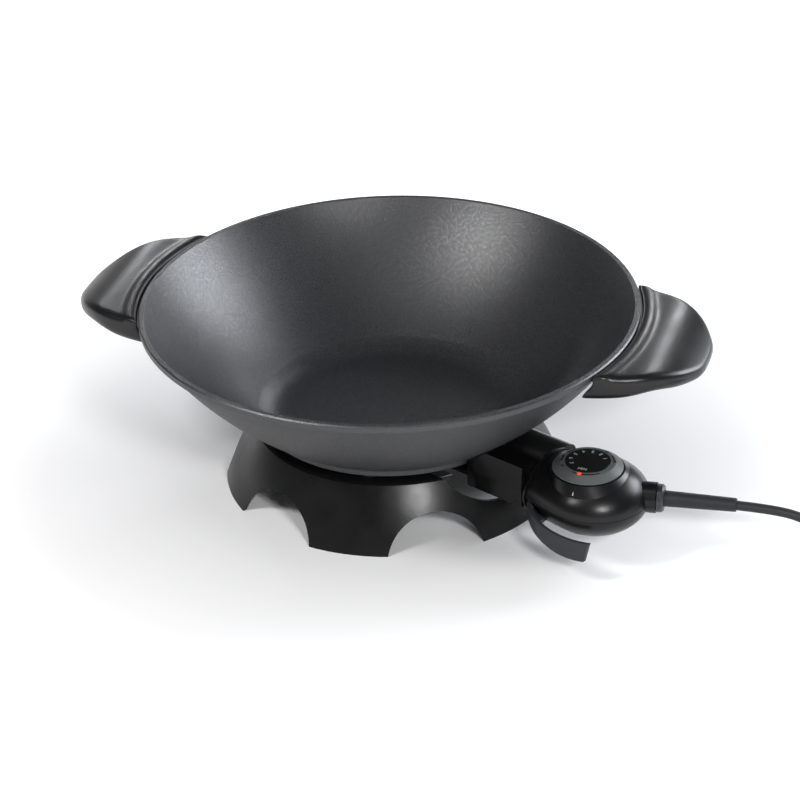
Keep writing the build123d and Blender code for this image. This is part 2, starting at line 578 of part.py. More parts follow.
with BuildPart() as wok_bowl:
    with BuildSketch(Plane.XZ) as bowl_section:
        with BuildLine():
            Polyline(
                (0, FLOOR_TOP),
                (0, FLOOR_UNDERSIDE),
                (BOWL_FOOT_RADIUS - FOOT_BAND_WIDTH - FOOT_BAND_SLOPE, FLOOR_UNDERSIDE),
                (BOWL_FOOT_RADIUS - FOOT_BAND_WIDTH, BOWL_FOOT_BOTTOM),
                (BOWL_FOOT_RADIUS, BOWL_FOOT_BOTTOM),
                (BOWL_FOOT_RADIUS, BOWL_FOOT_TOP),
                WALL_FOOT,
            )
            ThreePointArc(WALL_FOOT, WALL_CREST, WALL_HEAD)
            Polyline(
                WALL_HEAD,
                (RIM_RADIUS, RIM_HEIGHT - RIM_BAND),
                (RIM_RADIUS, RIM_HEIGHT),
                (INNER_RIM, RIM_HEIGHT),
            )
            ThreePointArc(
                (INNER_RIM, RIM_HEIGHT),
                (wall_at(INNER_MIDDLE, -WALL), INNER_MIDDLE),
                (INNER_FLOOR, FLOOR_TOP),
            )
            Line((INNER_FLOOR, FLOOR_TOP), (0, FLOOR_TOP))
        make_face()
        corners = bowl_section.vertices()
        inner_corner = corners.sort_by_distance((INNER_FLOOR, FLOOR_TOP))[0]
        fillet(inner_corner, FLOOR_FILLET)
        corners = bowl_section.vertices()
        band_corners = [
            corners.sort_by_distance((RIM_RADIUS, RIM_HEIGHT))[0],
            corners.sort_by_distance((RIM_RADIUS, RIM_HEIGHT - RIM_BAND))[0],
            corners.sort_by_distance((BOWL_FOOT_RADIUS, BOWL_FOOT_BOTTOM))[0],
        ]
        chamfer(band_corners, RIM_CHAMFER)
    revolve(axis=Axis.Z)

    # rib that the element's ring is set in
    with BuildSketch(Plane.XY.offset(PLUG_HEIGHT)):
        Circle(ELEMENT_RADIUS + ELEMENT_RIB_WIDTH / 2)
        Circle(ELEMENT_RADIUS - ELEMENT_RIB_WIDTH / 2, mode=Mode.SUBTRACT)
    extrude(until=Until.NEXT)

    # boss for the probe, beside the legs of the element
    with BuildSketch(plug_section(PROBE_BOSS_START)):
        with Locations((0, PLUG_HEIGHT)):
            boss_top = FLOOR_UNDERSIDE - PLUG_HEIGHT + WALL / 4
            with Locations((0, (boss_top - PROBE_BOSS_WALL) / 2)):
                Rectangle(2 * PROBE_BOSS_HALF_WIDTH, boss_top + PROBE_BOSS_WALL)
    extrude(amount=PROBE_BOSS_LENGTH)
    with BuildSketch(plug_section(PROBE_TIP - PROBE_GAP)):
        with Locations((0, PLUG_HEIGHT)):
            Circle(PROBE_RADIUS + PROBE_GAP)
    extrude(amount=PROBE_BOSS_LENGTH, mode=Mode.SUBTRACT)

    # bosses for the base and for the guard
    with BuildSketch(plug_floor(SKIRT_TOP)):
        with Locations(*BASE_SCREW_PLACES):
            Circle(BASE_BOSS_RADIUS)
    extrude(amount=FLOOR_UNDERSIDE - SKIRT_TOP + WALL / 4)
    with BuildSketch(plug_floor(GUARD_TAB_TOP)):
        with Locations(*GUARD_SCREW_PLACES):
            Circle(GUARD_BOSS_RADIUS)
    extrude(amount=FLOOR_UNDERSIDE - GUARD_TAB_TOP + WALL / 4)
    with BuildSketch(plug_floor(SKIRT_TOP)):
        with Locations(*BASE_SCREW_PLACES):
            Circle(BASE_SCREW_RADIUS)
    extrude(amount=BASE_SCREW_DEPTH, mode=Mode.SUBTRACT)
    with BuildSketch(plug_floor(GUARD_TAB_TOP)):
        with Locations(*GUARD_SCREW_PLACES):
            Circle(GUARD_SCREW_RADIUS)
    extrude(amount=SCREW_BITE, mode=Mode.SUBTRACT)

    # groove for the element
    add(element_tube(SHEATH_RADIUS + SHEATH_GAP), mode=Mode.SUBTRACT)

    # cast lugs that the handles are screwed to
    lug_root = wall_at(LUG_TOP) - WALL / 2
    for side in (1, -1):
        with BuildSketch(Plane.XY.offset(LUG_BOTTOM)):
            with Locations((side * (lug_root + LUG_REACH) / 2, 0)):
                Rectangle(LUG_REACH - lug_root, 2 * LUG_HALF_WIDTH)
        extrude(amount=LUG_TOP - LUG_BOTTOM)
    with BuildSketch(Plane.XY.offset(LUG_BOTTOM)):
        with Locations(*HANDLE_SCREW_PLACES):
            Circle(HANDLE_SCREW_RADIUS)
    extrude(amount=LUG_THICKNESS - SCREW_TIP_GAP, mode=Mode.SUBTRACT)
wok_bowl.part.label = "wok_bowl"
export_step(wok_bowl.part, "parts/wok_bowl.step")

# ---------------------------------------------------------------- element and connection

with BuildPart() as heating_element:
    add(element_tube(SHEATH_RADIUS))
heating_element.part.label = "heating_element"
export_step(heating_element.part, "parts/heating_element.step")

LEG_PLACES = [(LEG_OFFSET, PLUG_HEIGHT), (-LEG_OFFSET, PLUG_HEIGHT)]

with BuildPart() as insulator_beads:
    with BuildSketch(plug_section(LEG_END)):
        with Locations(*LEG_PLACES):
            Circle(BEAD_RADIUS)
            Circle(PIN_RADIUS, mode=Mode.SUBTRACT)
    extrude(amount=BLOCK_START + BLOCK_THICKNESS + BEAD_LENGTH - LEG_END)
insulator_beads.part.label = "insulator_beads"
export_step(insulator_beads.part, "parts/insulator_beads.step")

with BuildPart() as terminal_pins:
    with BuildSketch(plug_section(LEG_END)):
        with Locations(*LEG_PLACES):
            Circle(PIN_RADIUS)
    extrude(amount=PIN_END - LEG_END)
    pin_rims = terminal_pins.edges().filter_by(GeomType.CIRCLE)
    pin_rims = pin_rims.sort_by(Axis(origin=(0, 0, 0), direction=PLUG_DIR))
    chamfer(pin_rims[-2:], PIN_RADIUS / 3)
terminal_pins.part.label = "terminal_pins"
export_step(terminal_pins.part, "parts/terminal_pins.step")

with BuildPart() as terminal_block:
    with BuildSketch(plug_section(BLOCK_START)):
        with Locations((0, PLUG_HEIGHT)):
            RectangleRounded(2 * BLOCK_HALF_WIDTH, 2 * BLOCK_HALF_HEIGHT, BLOCK_CORNER)
            Circle(PROBE_RADIUS + PROBE_GAP, mode=Mode.SUBTRACT)
        with Locations(*LEG_PLACES):
            Circle(BEAD_RADIUS + SHEATH_GAP, mode=Mode.SUBTRACT)
    extrude(amount=BLOCK_THICKNESS)
terminal_block.part.label = "terminal_block"
export_step(terminal_block.part, "parts/terminal_block.step")

# ---------------------------------------------------------------- base skirt

SKIRT_FOOT = (SKIRT_FOOT_RADIUS, 0.0)
SKIRT_HEAD = (SKIRT_TOP_RADIUS + SKIRT_LIP, SKIRT_TOP - SKIRT_LIP_DROP)


def skirt_arc(inset):
    """Centre and radius of the skirt's flare, moved in by inset."""
    chord = hypot(SKIRT_FOOT[0] - SKIRT_HEAD[0], SKIRT_HEAD[1])
    outward = (SKIRT_HEAD[1] / chord, (SKIRT_FOOT[0] - SKIRT_HEAD[0]) / chord)
    radius = (chord**2 / 4 + SKIRT_BULGE**2) / (2 * SKIRT_BULGE)
    middle = ((SKIRT_FOOT[0] + SKIRT_HEAD[0]) / 2, SKIRT_HEAD[1] / 2)
    back = radius - SKIRT_BULGE
    return (middle[0] - outward[0] * back, middle[1] - outward[1] * back), radius - inset


def skirt_at(height, inset=0.0):
    """Radius of the skirt's flare at a height, moved in by inset."""
    centre, radius = skirt_arc(inset)
    return centre[0] + sqrt(radius**2 - (height - centre[1]) ** 2)


def skirt_curve(bottom, top, inset=0.0):
    """The flare between two heights, in the open line being drawn."""
    middle = (bottom + top) / 2
    return ThreePointArc(
        (skirt_at(bottom, inset), bottom),
        (skirt_at(middle, inset), middle),
        (skirt_at(top, inset), top),
    )


with BuildPart() as skirt_ribs:
    # one rib behind each foot but the first, which is below the connector
    for n in range(1, ARCHES):
        azimuth = radians(PLUG_AZIMUTH + ARCH_FIRST + (n - 0.5) * 360 / ARCHES)
        outward = Vector(cos(azimuth), sin(azimuth), 0)
        with BuildSketch(Plane(origin=(0, 0, 0), x_dir=outward, z_dir=outward.cross(UP))):
            with BuildLine():
                rib_outer = skirt_curve(RIB_BOTTOM, FLANGE_UNDERSIDE, SKIRT_WALL / 2)
                Polyline(
                    rib_outer @ 1,
                    (RIB_TOP_RADIUS, FLANGE_UNDERSIDE),
                    (RIB_TOP_RADIUS + RIB_WAIST, FLANGE_UNDERSIDE - RIB_WAIST_DROP),
                    rib_outer @ 0,
                )
            make_face()
        extrude(amount=RIB_THICKNESS / 2, both=True)

with BuildPart() as base_skirt:
    with BuildSketch(Plane.XZ):
        with BuildLine():
            skirt_curve(0, SKIRT_HEAD[1])
            Polyline(
                SKIRT_HEAD,
                (SKIRT_TOP_RADIUS, SKIRT_TOP),
                (FLANGE_INNER_RADIUS, SKIRT_TOP),
                (FLANGE_INNER_RADIUS, FLANGE_UNDERSIDE),
                (skirt_at(FLANGE_UNDERSIDE, SKIRT_WALL), FLANGE_UNDERSIDE),
            )
            skirt_curve(0, FLANGE_UNDERSIDE, SKIRT_WALL)
            Line((skirt_at(0, SKIRT_WALL), 0), SKIRT_FOOT)
        make_face()
    revolve(axis=Axis.Z)
    add(skirt_ribs.part)

    # arches between the feet
    for n in range(ARCHES):
        azimuth = radians(PLUG_AZIMUTH + ARCH_FIRST + n * 360 / ARCHES)
        outward = Vector(cos(azimuth), sin(azimuth), 0)
        arch_origin = outward * FLANGE_INNER_RADIUS - UP * ARCH_DEPTH
        with BuildSketch(Plane(origin=arch_origin, x_dir=UP.cross(outward), z_dir=outward)):
            Circle(ARCH_RADIUS)
        extrude(amount=SKIRT_FOOT_RADIUS, mode=Mode.SUBTRACT)

    # cut-out round the connector
    with BuildSketch(plug_section(FLANGE_INNER_RADIUS / 2)):
        with Locations((0, SKIRT_TOP + NOTCH_RISE)):
            Ellipse(NOTCH_HALF_WIDTH, NOTCH_HALF_HEIGHT)
    extrude(amount=SKIRT_FOOT_RADIUS, mode=Mode.SUBTRACT)

    with BuildSketch(plug_floor(FLANGE_UNDERSIDE)):
        with Locations(*BASE_SCREW_PLACES):
            Circle(BASE_SCREW_RADIUS + SCREW_CLEARANCE)
    extrude(amount=FLANGE_THICKNESS, mode=Mode.SUBTRACT)
base_skirt.part.label = "base_skirt"
export_step(base_skirt.part, "parts/base_skirt.step")

# heat shield: a pressed pan under the element, clamped below the base's flange
with BuildPart() as heat_shield:
    with BuildSketch(Plane.XZ):
        shield_top = FLANGE_UNDERSIDE
        with BuildLine():
            Polyline(
                (0, SHIELD_FLOOR),
                (SHIELD_WALL_RADIUS - SHIELD_SLOPE, SHIELD_FLOOR),
                (SHIELD_WALL_RADIUS, shield_top - SHIELD_SHEET),
                (SHIELD_RIM_RADIUS, shield_top - SHIELD_SHEET),
                (SHIELD_RIM_RADIUS, shield_top),
                (SHIELD_WALL_RADIUS - SHIELD_SHEET, shield_top),
                (SHIELD_WALL_RADIUS - SHIELD_SLOPE - SHIELD_SHEET, SHIELD_FLOOR + SHIELD_SHEET),
                (0, SHIELD_FLOOR + SHIELD_SHEET),
                close=True,
            )
        make_face()
    revolve(axis=Axis.Z)
    with BuildSketch(plug_section(SHIELD_GATE_START)):
        gate_bottom = SHIELD_FLOOR + 2 * SHIELD_SHEET
        with Locations((0, (gate_bottom + SKIRT_TOP) / 2)):
            Rectangle(2 * SHIELD_GATE_HALF_WIDTH, SKIRT_TOP - gate_bottom)
    extrude(amount=SHIELD_RIM_RADIUS, mode=Mode.SUBTRACT)
    with BuildSketch(plug_floor(shield_top - SHIELD_SHEET)):
        with Locations(*BASE_SCREW_PLACES):
            Circle(BASE_SCREW_RADIUS + SCREW_CLEARANCE)
    extrude(amount=SHIELD_SHEET, mode=Mode.SUBTRACT)
heat_shield.part.label = "heat_shield"
export_step(heat_shield.part, "parts/heat_shield.step")

with BuildPart() as base_screws:
    screw_length = FLANGE_THICKNESS + SHIELD_SHEET + BASE_SCREW_DEPTH - SCREW_TIP_GAP
    add(
        ring_of_screws(
            BASE_SCREW_PLACES,
            BASE_SCREW_RADIUS,
            screw_length,
            FLANGE_UNDERSIDE - SHIELD_SHEET,
            plug_floor,
        )
    )
base_screws.part.label = "base_screws"
export_step(base_screws.part, "parts/base_screws.step")

# ---------------------------------------------------------------- handles


def handle_spot(share):
    """A point of a handle's side view: along from the rim and up from its top, as shares."""
    return (RIM_RADIUS + share[0] * HANDLE_PROUD, RIM_HEIGHT + share[1] * HANDLE_DEPTH)


def handle_edge(share):
    """A point of a handle's outline in plan, on its near side."""
    return (RIM_RADIUS + share[0] * HANDLE_PROUD, -share[1] * HANDLE_HALF_WIDTH)


HANDLE_ROOT_X = RIM_RADIUS + HANDLE_ROOT[0] * HANDLE_PROUD
HANDLE_ROOT_Y = HANDLE_ROOT_FLARE * HANDLE_HALF_WIDTH

with BuildPart() as handle_plan:
    with BuildSketch(Plane.XY.offset(HANDLE_LOW)):
        with BuildLine():
            outline = [handle_edge(share) for share in HANDLE_OUTLINE + [HANDLE_SHOULDER]]
            near = Spline(
                (HANDLE_ROOT_X, -HANDLE_ROOT_Y),
                *outline,
                (RIM_RADIUS + HANDLE_PROUD, 0),
                tangents=[(1, 0.08), (0, 1)],
            )
            mirror(near, about=Plane.XZ)
            Line((HANDLE_ROOT_X, HANDLE_ROOT_Y), (HANDLE_ROOT_X, -HANDLE_ROOT_Y))
        make_face()
    extrude(amount=HANDLE_HIGH - HANDLE_LOW)

handle_room = bowl_clearance(HANDLE_GAP, HANDLE_LOW, HANDLE_HIGH)

# raised strip that follows the rim
with BuildPart() as handle_strip:
    with BuildSketch(Plane.XY.offset(LUG_TOP)):
        strip_inner = wall_at(HANDLE_STRIP_TOP, HANDLE_GAP)
        Circle(strip_inner + HANDLE_STRIP)
        Circle(strip_inner - HANDLE_STRIP, mode=Mode.SUBTRACT)
    extrude(amount=HANDLE_STRIP_TOP - LUG_TOP)
    add(handle_plan.part, mode=Mode.INTERSECT)
    add(handle_room, mode=Mode.SUBTRACT)

with BuildPart() as right_handle:
    with BuildSketch(Plane.XZ):
        with BuildLine():
            top = Spline(
                handle_spot((HANDLE_ROOT[0], HANDLE_ROOT[1])),
                *[handle_spot(share) for share in HANDLE_TOP_LINE],
                handle_spot((HANDLE_TIP[0], HANDLE_TIP[1])),
            )
            bottom = Spline(
                handle_spot((HANDLE_TIP[0], HANDLE_TIP[2])),
                *[handle_spot(share) for share in HANDLE_UNDER_LINE],
                handle_spot((HANDLE_ROOT[0], HANDLE_ROOT[2])),
            )
            Line(top @ 1, bottom @ 0)
            Line(bottom @ 1, top @ 0)
        make_face()
    extrude(amount=HANDLE_ROOT_Y + HANDLE_GAP, both=True)
    add(handle_plan.part, mode=Mode.INTERSECT)
    add(handle_room, mode=Mode.SUBTRACT)
    # the long curved edges, below and above
    for first, last, rounding in ((0, 2, HANDLE_LOWER_EDGE), (-2, None, HANDLE_UPPER_EDGE)):
        long_edges = right_handle.edges().filter_by(lambda edge: edge.length > HANDLE_HALF_WIDTH)
        long_edges = long_edges.filter_by(lambda edge: edge.center().X > HANDLE_SCREW_X)
        long_edges = long_edges.filter_by(lambda edge: abs(edge.center().Y) > HANDLE_STRIP)
        fillet(long_edges.sort_by(Axis.Z)[first:last], rounding)
    add(handle_strip.part)
    with BuildSketch(Plane.XY.offset(LUG_BOTTOM - LUG_GAP)):
        with Locations(((LUG_REACH + LUG_GAP) / 2, 0)):
            Rectangle(LUG_REACH + LUG_GAP, 2 * (LUG_HALF_WIDTH + LUG_GAP))
    extrude(amount=LUG_THICKNESS + 2 * LUG_GAP, mode=Mode.SUBTRACT)
    with BuildSketch(Plane.XY.offset(HANDLE_LOW)):
        with Locations(*HANDLE_SCREW_PLACES):
            Circle(HANDLE_SCREW_RADIUS + SCREW_CLEARANCE)
    extrude(amount=LUG_BOTTOM - HANDLE_LOW, mode=Mode.SUBTRACT)
    screw_seat = LUG_BOTTOM - LUG_GAP - HANDLE_SCREW_FLOOR
    with BuildSketch(Plane.XY.offset(HANDLE_LOW)):
        with Locations(*HANDLE_SCREW_PLACES):
            Circle(HANDLE_SCREW_RADIUS * SCREW_HEAD_RATIO + SCREW_CLEARANCE)
    extrude(amount=screw_seat - HANDLE_LOW, mode=Mode.SUBTRACT)
right_handle.part.label = "right_handle"
export_step(right_handle.part, "parts/right_handle.step")

with BuildPart() as left_handle:
    add(right_handle.part.rotate(Axis.Z, 180))
left_handle.part.label = "left_handle"
export_step(left_handle.part, "parts/left_handle.step")

with BuildPart() as handle_screws:
    add(
        ring_of_screws(
            HANDLE_SCREW_PLACES,
            HANDLE_SCREW_RADIUS,
            LUG_TOP - screw_seat - SCREW_BITE,
            screw_seat,
            Plane.XY.offset,
        )
    )
handle_screws.part.label = "handle_screws"
export_step(handle_screws.part, "parts/handle_screws.step")

# ---------------------------------------------------------------- connector guard


def guard_outline(inset):
    """The guard's arched section, moved in by inset, open below."""
    half = GUARD_HALF_WIDTH - inset
    foot = half - GUARD_DRAFT
    corner_x, corner_z = (
        GUARD_CORNER[0] * GUARD_HALF_WIDTH - inset,
        PLUG_HEIGHT + GUARD_CORNER[1] * GUARD_RISE - inset,
    )
    brow_x, brow_z = (
        GUARD_BROW[0] * GUARD_HALF_WIDTH - inset,
        PLUG_HEIGHT + GUARD_BROW[1] * GUARD_RISE - inset,
    )
    shoulder = GUARD_SHOULDER - inset
    with BuildSketch() as outline:
        with BuildLine():
            Polyline((-half, shoulder), (-foot, GUARD_SKIRT), (foot, GUARD_SKIRT), (half, shoulder))
            Spline(
                (half, shoulder),
                (corner_x, corner_z),
                (brow_x, brow_z),
                (0, GUARD_CROWN - inset),
                (-brow_x, brow_z),
                (-corner_x, corner_z),
                (-half, shoulder),
                tangents=[(-0.06, 1), (-0.06, -1)],
            )
        make_face()
    return outline.sketch


with BuildPart() as connector_guard:
    with BuildSketch(plug_section(GUARD_START)):
        add(guard_outline(0))
    extrude(amount=GUARD_END - GUARD_START)
    with BuildSketch(plug_section(GUARD_START)):
        add(guard_outline(GUARD_WALL))
    extrude(amount=GUARD_END - GUARD_START, mode=Mode.SUBTRACT)
    with BuildSketch(plug_section(GUARD_END - COLLAR_THICKNESS)):
        with Locations((0, PLUG_HEIGHT)):
            Ellipse(GUARD_HALF_WIDTH, COLLAR_HALF_HEIGHT)
            RectangleRounded(
                2 * (PLUG_BLOCK_HALF_WIDTH + PLUG_BLOCK_GAP),
                2 * (PLUG_BLOCK_HALF_HEIGHT + PLUG_BLOCK_GAP),
                PLUG_BLOCK_HALF_HEIGHT,
                mode=Mode.SUBTRACT,
            )
    extrude(amount=COLLAR_THICKNESS)
    for side in (1, -1):
        with BuildSketch(plug_floor(GUARD_TAB_TOP - GUARD_TAB_THICKNESS)):
            tab_width = GUARD_HALF_WIDTH - GUARD_DRAFT - GUARD_TAB_INNER
            tab_length = GUARD_START + GUARD_WALL - GUARD_TAB_START
            with Locations(
                (
                    GUARD_TAB_START + tab_length / 2,
                    side * (GUARD_TAB_INNER + tab_width / 2),
                )
            ):
                Rectangle(tab_length, tab_width)
        extrude(amount=GUARD_TAB_THICKNESS)
    add(bowl_clearance(GUARD_BOWL_GAP, BOWL_FOOT_TOP - WALL, RIM_HEIGHT), mode=Mode.SUBTRACT)
    with BuildSketch(Plane.XY.offset(GUARD_TAB_TOP)):
        Circle(BOWL_FOOT_RADIUS + GUARD_BOWL_GAP)
    extrude(amount=RIM_HEIGHT, mode=Mode.SUBTRACT)
    with BuildSketch(plug_floor(GUARD_TAB_TOP - GUARD_TAB_THICKNESS)):
        with Locations(*GUARD_SCREW_PLACES):
            Circle(GUARD_SCREW_RADIUS + SCREW_CLEARANCE)
    extrude(amount=GUARD_TAB_THICKNESS, mode=Mode.SUBTRACT)
connector_guard.part.label = "connector_guard"
export_step(connector_guard.part, "parts/connector_guard.step")

with BuildPart() as guard_screws:
    add(
        ring_of_screws(
            GUARD_SCREW_PLACES,
            GUARD_SCREW_RADIUS,
            GUARD_TAB_THICKNESS + SCREW_BITE - SCREW_TIP_GAP,
            GUARD_TAB_TOP - GUARD_TAB_THICKNESS,
            plug_floor,
        )
    )
guard_screws.part.label = "guard_screws"
export_step(guard_screws.part, "parts/guard_screws.step")

# ---------------------------------------------------------------- thermostat housing

NOSE_SECTIONS = 4


def housing_form(inset):
    """Egg-shaped body: an oval nose that swells into a flattened ball, then the cord's tail."""
    with BuildPart() as form:
        start = NOSE_FACE + inset
        for n in range(NOSE_SECTIONS):
            share = n / (NOSE_SECTIONS - 1)
            swell = sin(share * pi / 2)
            along = start + (EGG_U - start) * share
            with BuildSketch(plug_section(along)):
                with Locations((EGG_W * swell, PLUG_HEIGHT + (EGG_HEIGHT - PLUG_HEIGHT) * swell)):
                    Ellipse(
                        NOSE_HALF_WIDTH + (EGG_HALF_WIDTH - NOSE_HALF_WIDTH) * swell - inset,
                        NOSE_HALF_HEIGHT + (EGG_HALF_HEIGHT - NOSE_HALF_HEIGHT) * swell - inset,
                    )
        loft()
        middle = EGG_CENTRE + UP * EGG_HEIGHT
        with BuildSketch(Plane(origin=middle, x_dir=SIDE_DIR, z_dir=PLUG_DIR)):
            Ellipse(EGG_HALF_WIDTH - inset, EGG_HALF_HEIGHT - inset)
            with Locations((-EGG_HALF_WIDTH, 0)):
                Rectangle(2 * EGG_HALF_WIDTH, 3 * EGG_HALF_HEIGHT, mode=Mode.SUBTRACT)
        revolve(axis=Axis(origin=middle, direction=UP), revolution_arc=-180)
        # a skirt that leads from the ball up to the dial's seat
        seat_root = EGG_HALF_WIDTH * sqrt(1 - SEAT_ROOT_SHARE**2) - SEAT_SINK
        seat_root_height = EGG_HEIGHT + SEAT_ROOT_SHARE * EGG_HALF_HEIGHT
        with BuildSketch(Plane(origin=EGG_CENTRE + UP * seat_root_height)):
            Circle(seat_root - inset)
        with BuildSketch(Plane(origin=DIAL_CENTRE + UP * (SEAT_TOP - inset))):
            Circle(SEAT_RADIUS - inset)
        loft()
        # the dial sits on a flat, so the body is cut level under it
        with BuildSketch(Plane(origin=EGG_CENTRE + UP * (SEAT_TOP - inset), x_dir=PLUG_DIR, z_dir=UP)):
            Circle(2 * EGG_HALF_WIDTH)
        extrude(amount=EGG_HALF_HEIGHT, mode=Mode.SUBTRACT)
        with BuildSketch(exit_section(EGG_SHIFT)):
            Circle(TAIL_RADIUS - inset)
        extrude(amount=TAIL_END - EGG_SHIFT)
    return form.part


def housing_slab(bottom, top):
    """A level slab that is wider than the housing."""
    with BuildPart() as slab:
        with BuildSketch(Plane(origin=EGG_CENTRE + UP * bottom, x_dir=PLUG_DIR, z_dir=UP)):
            Rectangle(6 * EGG_HALF_WIDTH, 4 * EGG_HALF_WIDTH)
        extrude(amount=top - bottom)
    return slab.part


housing_outer = housing_form(0)
housing_inner = housing_form(SHELL)
housing_lap = housing_form(SHELL * LAP_SHARE)
HOUSING_SCREWS = [
    (DIAL_U + along * EGG_HALF_WIDTH, aside * EGG_HALF_WIDTH) for along, aside in HOUSING_SCREW_SPOTS
]

with BuildPart() as nose_flange:
    with BuildSketch(plug_section(FLANGE_FACE)):
        with Locations((0, PLUG_HEIGHT)):
            Ellipse(NOSE_HALF_WIDTH + FLANGE_PROUD, NOSE_HALF_HEIGHT + FLANGE_PROUD)
    extrude(amount=FLANGE_RIM)

with BuildPart() as plug_opening:
    with BuildSketch(plug_section(FLANGE_FACE - SHELL)):
        with Locations((0, PLUG_HEIGHT)):
            RectangleRounded(
                2 * (PLUG_BLOCK_HALF_WIDTH + PLUG_SEAT_GAP),
                2 * (PLUG_BLOCK_HALF_HEIGHT + PLUG_SEAT_GAP),
                PLUG_BLOCK_CORNER + PLUG_SEAT_GAP,
            )
    extrude(amount=FLANGE_RIM + 3 * SHELL)

with BuildPart() as tail_bore:
    with BuildSketch(exit_section(EGG_SHIFT)):
        Circle(GLAND_STEM_RADIUS + SCREW_CLEARANCE)
    extrude(amount=TAIL_END)

with BuildPart() as housing_posts:
    with BuildSketch(plug_floor(EGG_BOTTOM)):
        with Locations(*HOUSING_SCREWS, (LEVER_PIVOT_U, LEVER_PIVOT_W)):
            Circle(HOUSING_POST_RADIUS)
    extrude(amount=EGG_TOP - EGG_BOTTOM)
    add(housing_outer, mode=Mode.INTERSECT)

# heads of the housing screws sit in deep holes from below
with BuildPart() as screw_holes:
    with BuildSketch(plug_floor(EGG_BOTTOM)):
        with Locations(*HOUSING_SCREWS):
            Circle(HOUSING_SCREW_RADIUS * SCREW_HEAD_RATIO)
    extrude(amount=HEAD_SEAT - EGG_BOTTOM)
    with BuildSketch(plug_floor(HEAD_SEAT)):
        with Locations(*HOUSING_SCREWS):
            Circle(HOUSING_SCREW_RADIUS + SEAT_FIT)
    extrude(amount=EGG_HEIGHT + HOUSING_SCREW_DEPTH - HEAD_SEAT)

# ---------------------------------------------------------------- release lever

LEVER_PIVOT = plug_point(LEVER_PIVOT_U, LEVER_PIVOT_W, 0)
LEVER_AXIS = Axis(origin=LEVER_PIVOT, direction=UP)
FINGER_U = GUARD_END + LEVER_FINGER_GAP + LEVER_FINGER_RADIUS


def wing_point(turn):
    """A point on the middle of the lever's wing, along and aside."""
    turn = radians(turn)
    return (EGG_U + LEVER_RADIUS * cos(turn), EGG_W + LEVER_RADIUS * sin(turn))


def wing_spot(share):
    """A point of the wing's side view, given as shares of the ball's half width."""
    return (DIAL_U + share[0] * EGG_HALF_WIDTH, EGG_HEIGHT + share[1] * EGG_HALF_WIDTH)


def lever_works(gap):
    """The lever's hub, inner arm and web, with a gap all round."""
    with BuildPart() as works:
        with BuildSketch(plug_floor(LEVER_ARM_BOTTOM - gap)):
            with Locations((LEVER_PIVOT_U, LEVER_PIVOT_W)):
                Circle(LEVER_HUB_RADIUS + gap)
            with Locations((FINGER_U, LEVER_FINGER_W)):
                Circle(LEVER_FINGER_RADIUS + gap)
            make_hull()
        extrude(amount=LEVER_ARM_TOP - LEVER_ARM_BOTTOM + 2 * gap)
        with BuildSketch(plug_floor(LEVER_WEB_BOTTOM - gap)):
            with Locations((LEVER_PIVOT_U, LEVER_PIVOT_W)):
                Circle(LEVER_HUB_RADIUS + gap)
            with Locations(wing_point(LEVER_WEB_START), wing_point(LEVER_WEB_STOP)):
                Circle(LEVER_THICKNESS / 2 + gap)
            make_hull()
        extrude(amount=LEVER_WEB_TOP - LEVER_WEB_BOTTOM + 2 * gap)
        with BuildSketch(plug_floor(LEVER_ARM_BOTTOM - gap)):
            with Locations((LEVER_PIVOT_U, LEVER_PIVOT_W)):
                Circle(LEVER_HUB_RADIUS + gap)
        extrude(amount=LEVER_HUB_TOP - LEVER_ARM_BOTTOM + 2 * gap)
    return works.part


with BuildPart() as lever_wing:
    with BuildSketch(Plane(origin=EGG_CENTRE, x_dir=PLUG_DIR, z_dir=UP)):
        Circle(LEVER_RADIUS + LEVER_THICKNESS / 2)
        Circle(LEVER_RADIUS - LEVER_THICKNESS / 2, mode=Mode.SUBTRACT)
    extrude(amount=SEAT_TOP)
    # outline of the wing as it is seen from the side: along the plug axis, and up
    with BuildSketch(Plane(origin=SIDE_DIR * LEVER_PIVOT_W, x_dir=PLUG_DIR, z_dir=-SIDE_DIR)):
        with BuildLine():
            lower = Spline(*[wing_spot(share) for share in WING_LOWER])
            upper = Spline(*[wing_spot(share) for share in WING_UPPER])
            Line(lower @ 1, upper @ 0)
            Line(upper @ 1, lower @ 0)
        make_face()
    extrude(amount=2 * EGG_HALF_WIDTH, mode=Mode.INTERSECT)

with BuildPart() as release_lever:
    add(lever_wing.part)
    add(lever_works(0))
    # keep the web and the hub inside the wing's outer face
    with BuildSketch(Plane(origin=EGG_CENTRE, x_dir=PLUG_DIR, z_dir=UP)):
        Circle(LEVER_RADIUS + LEVER_THICKNESS / 2)
    extrude(amount=SEAT_TOP, mode=Mode.INTERSECT)
    with BuildSketch(plug_floor(0)):
        with Locations((LEVER_PIVOT_U, LEVER_PIVOT_W)):
            Circle(LEVER_PIN_RADIUS + RUNNING_GAP)
    extrude(amount=SEAT_TOP, mode=Mode.SUBTRACT)
release_lever.part.label = "release_lever"
export_step(release_lever.part, "parts/release_lever.step")

# room in the housing for the lever over its travel
LEVER_STEPS = 3

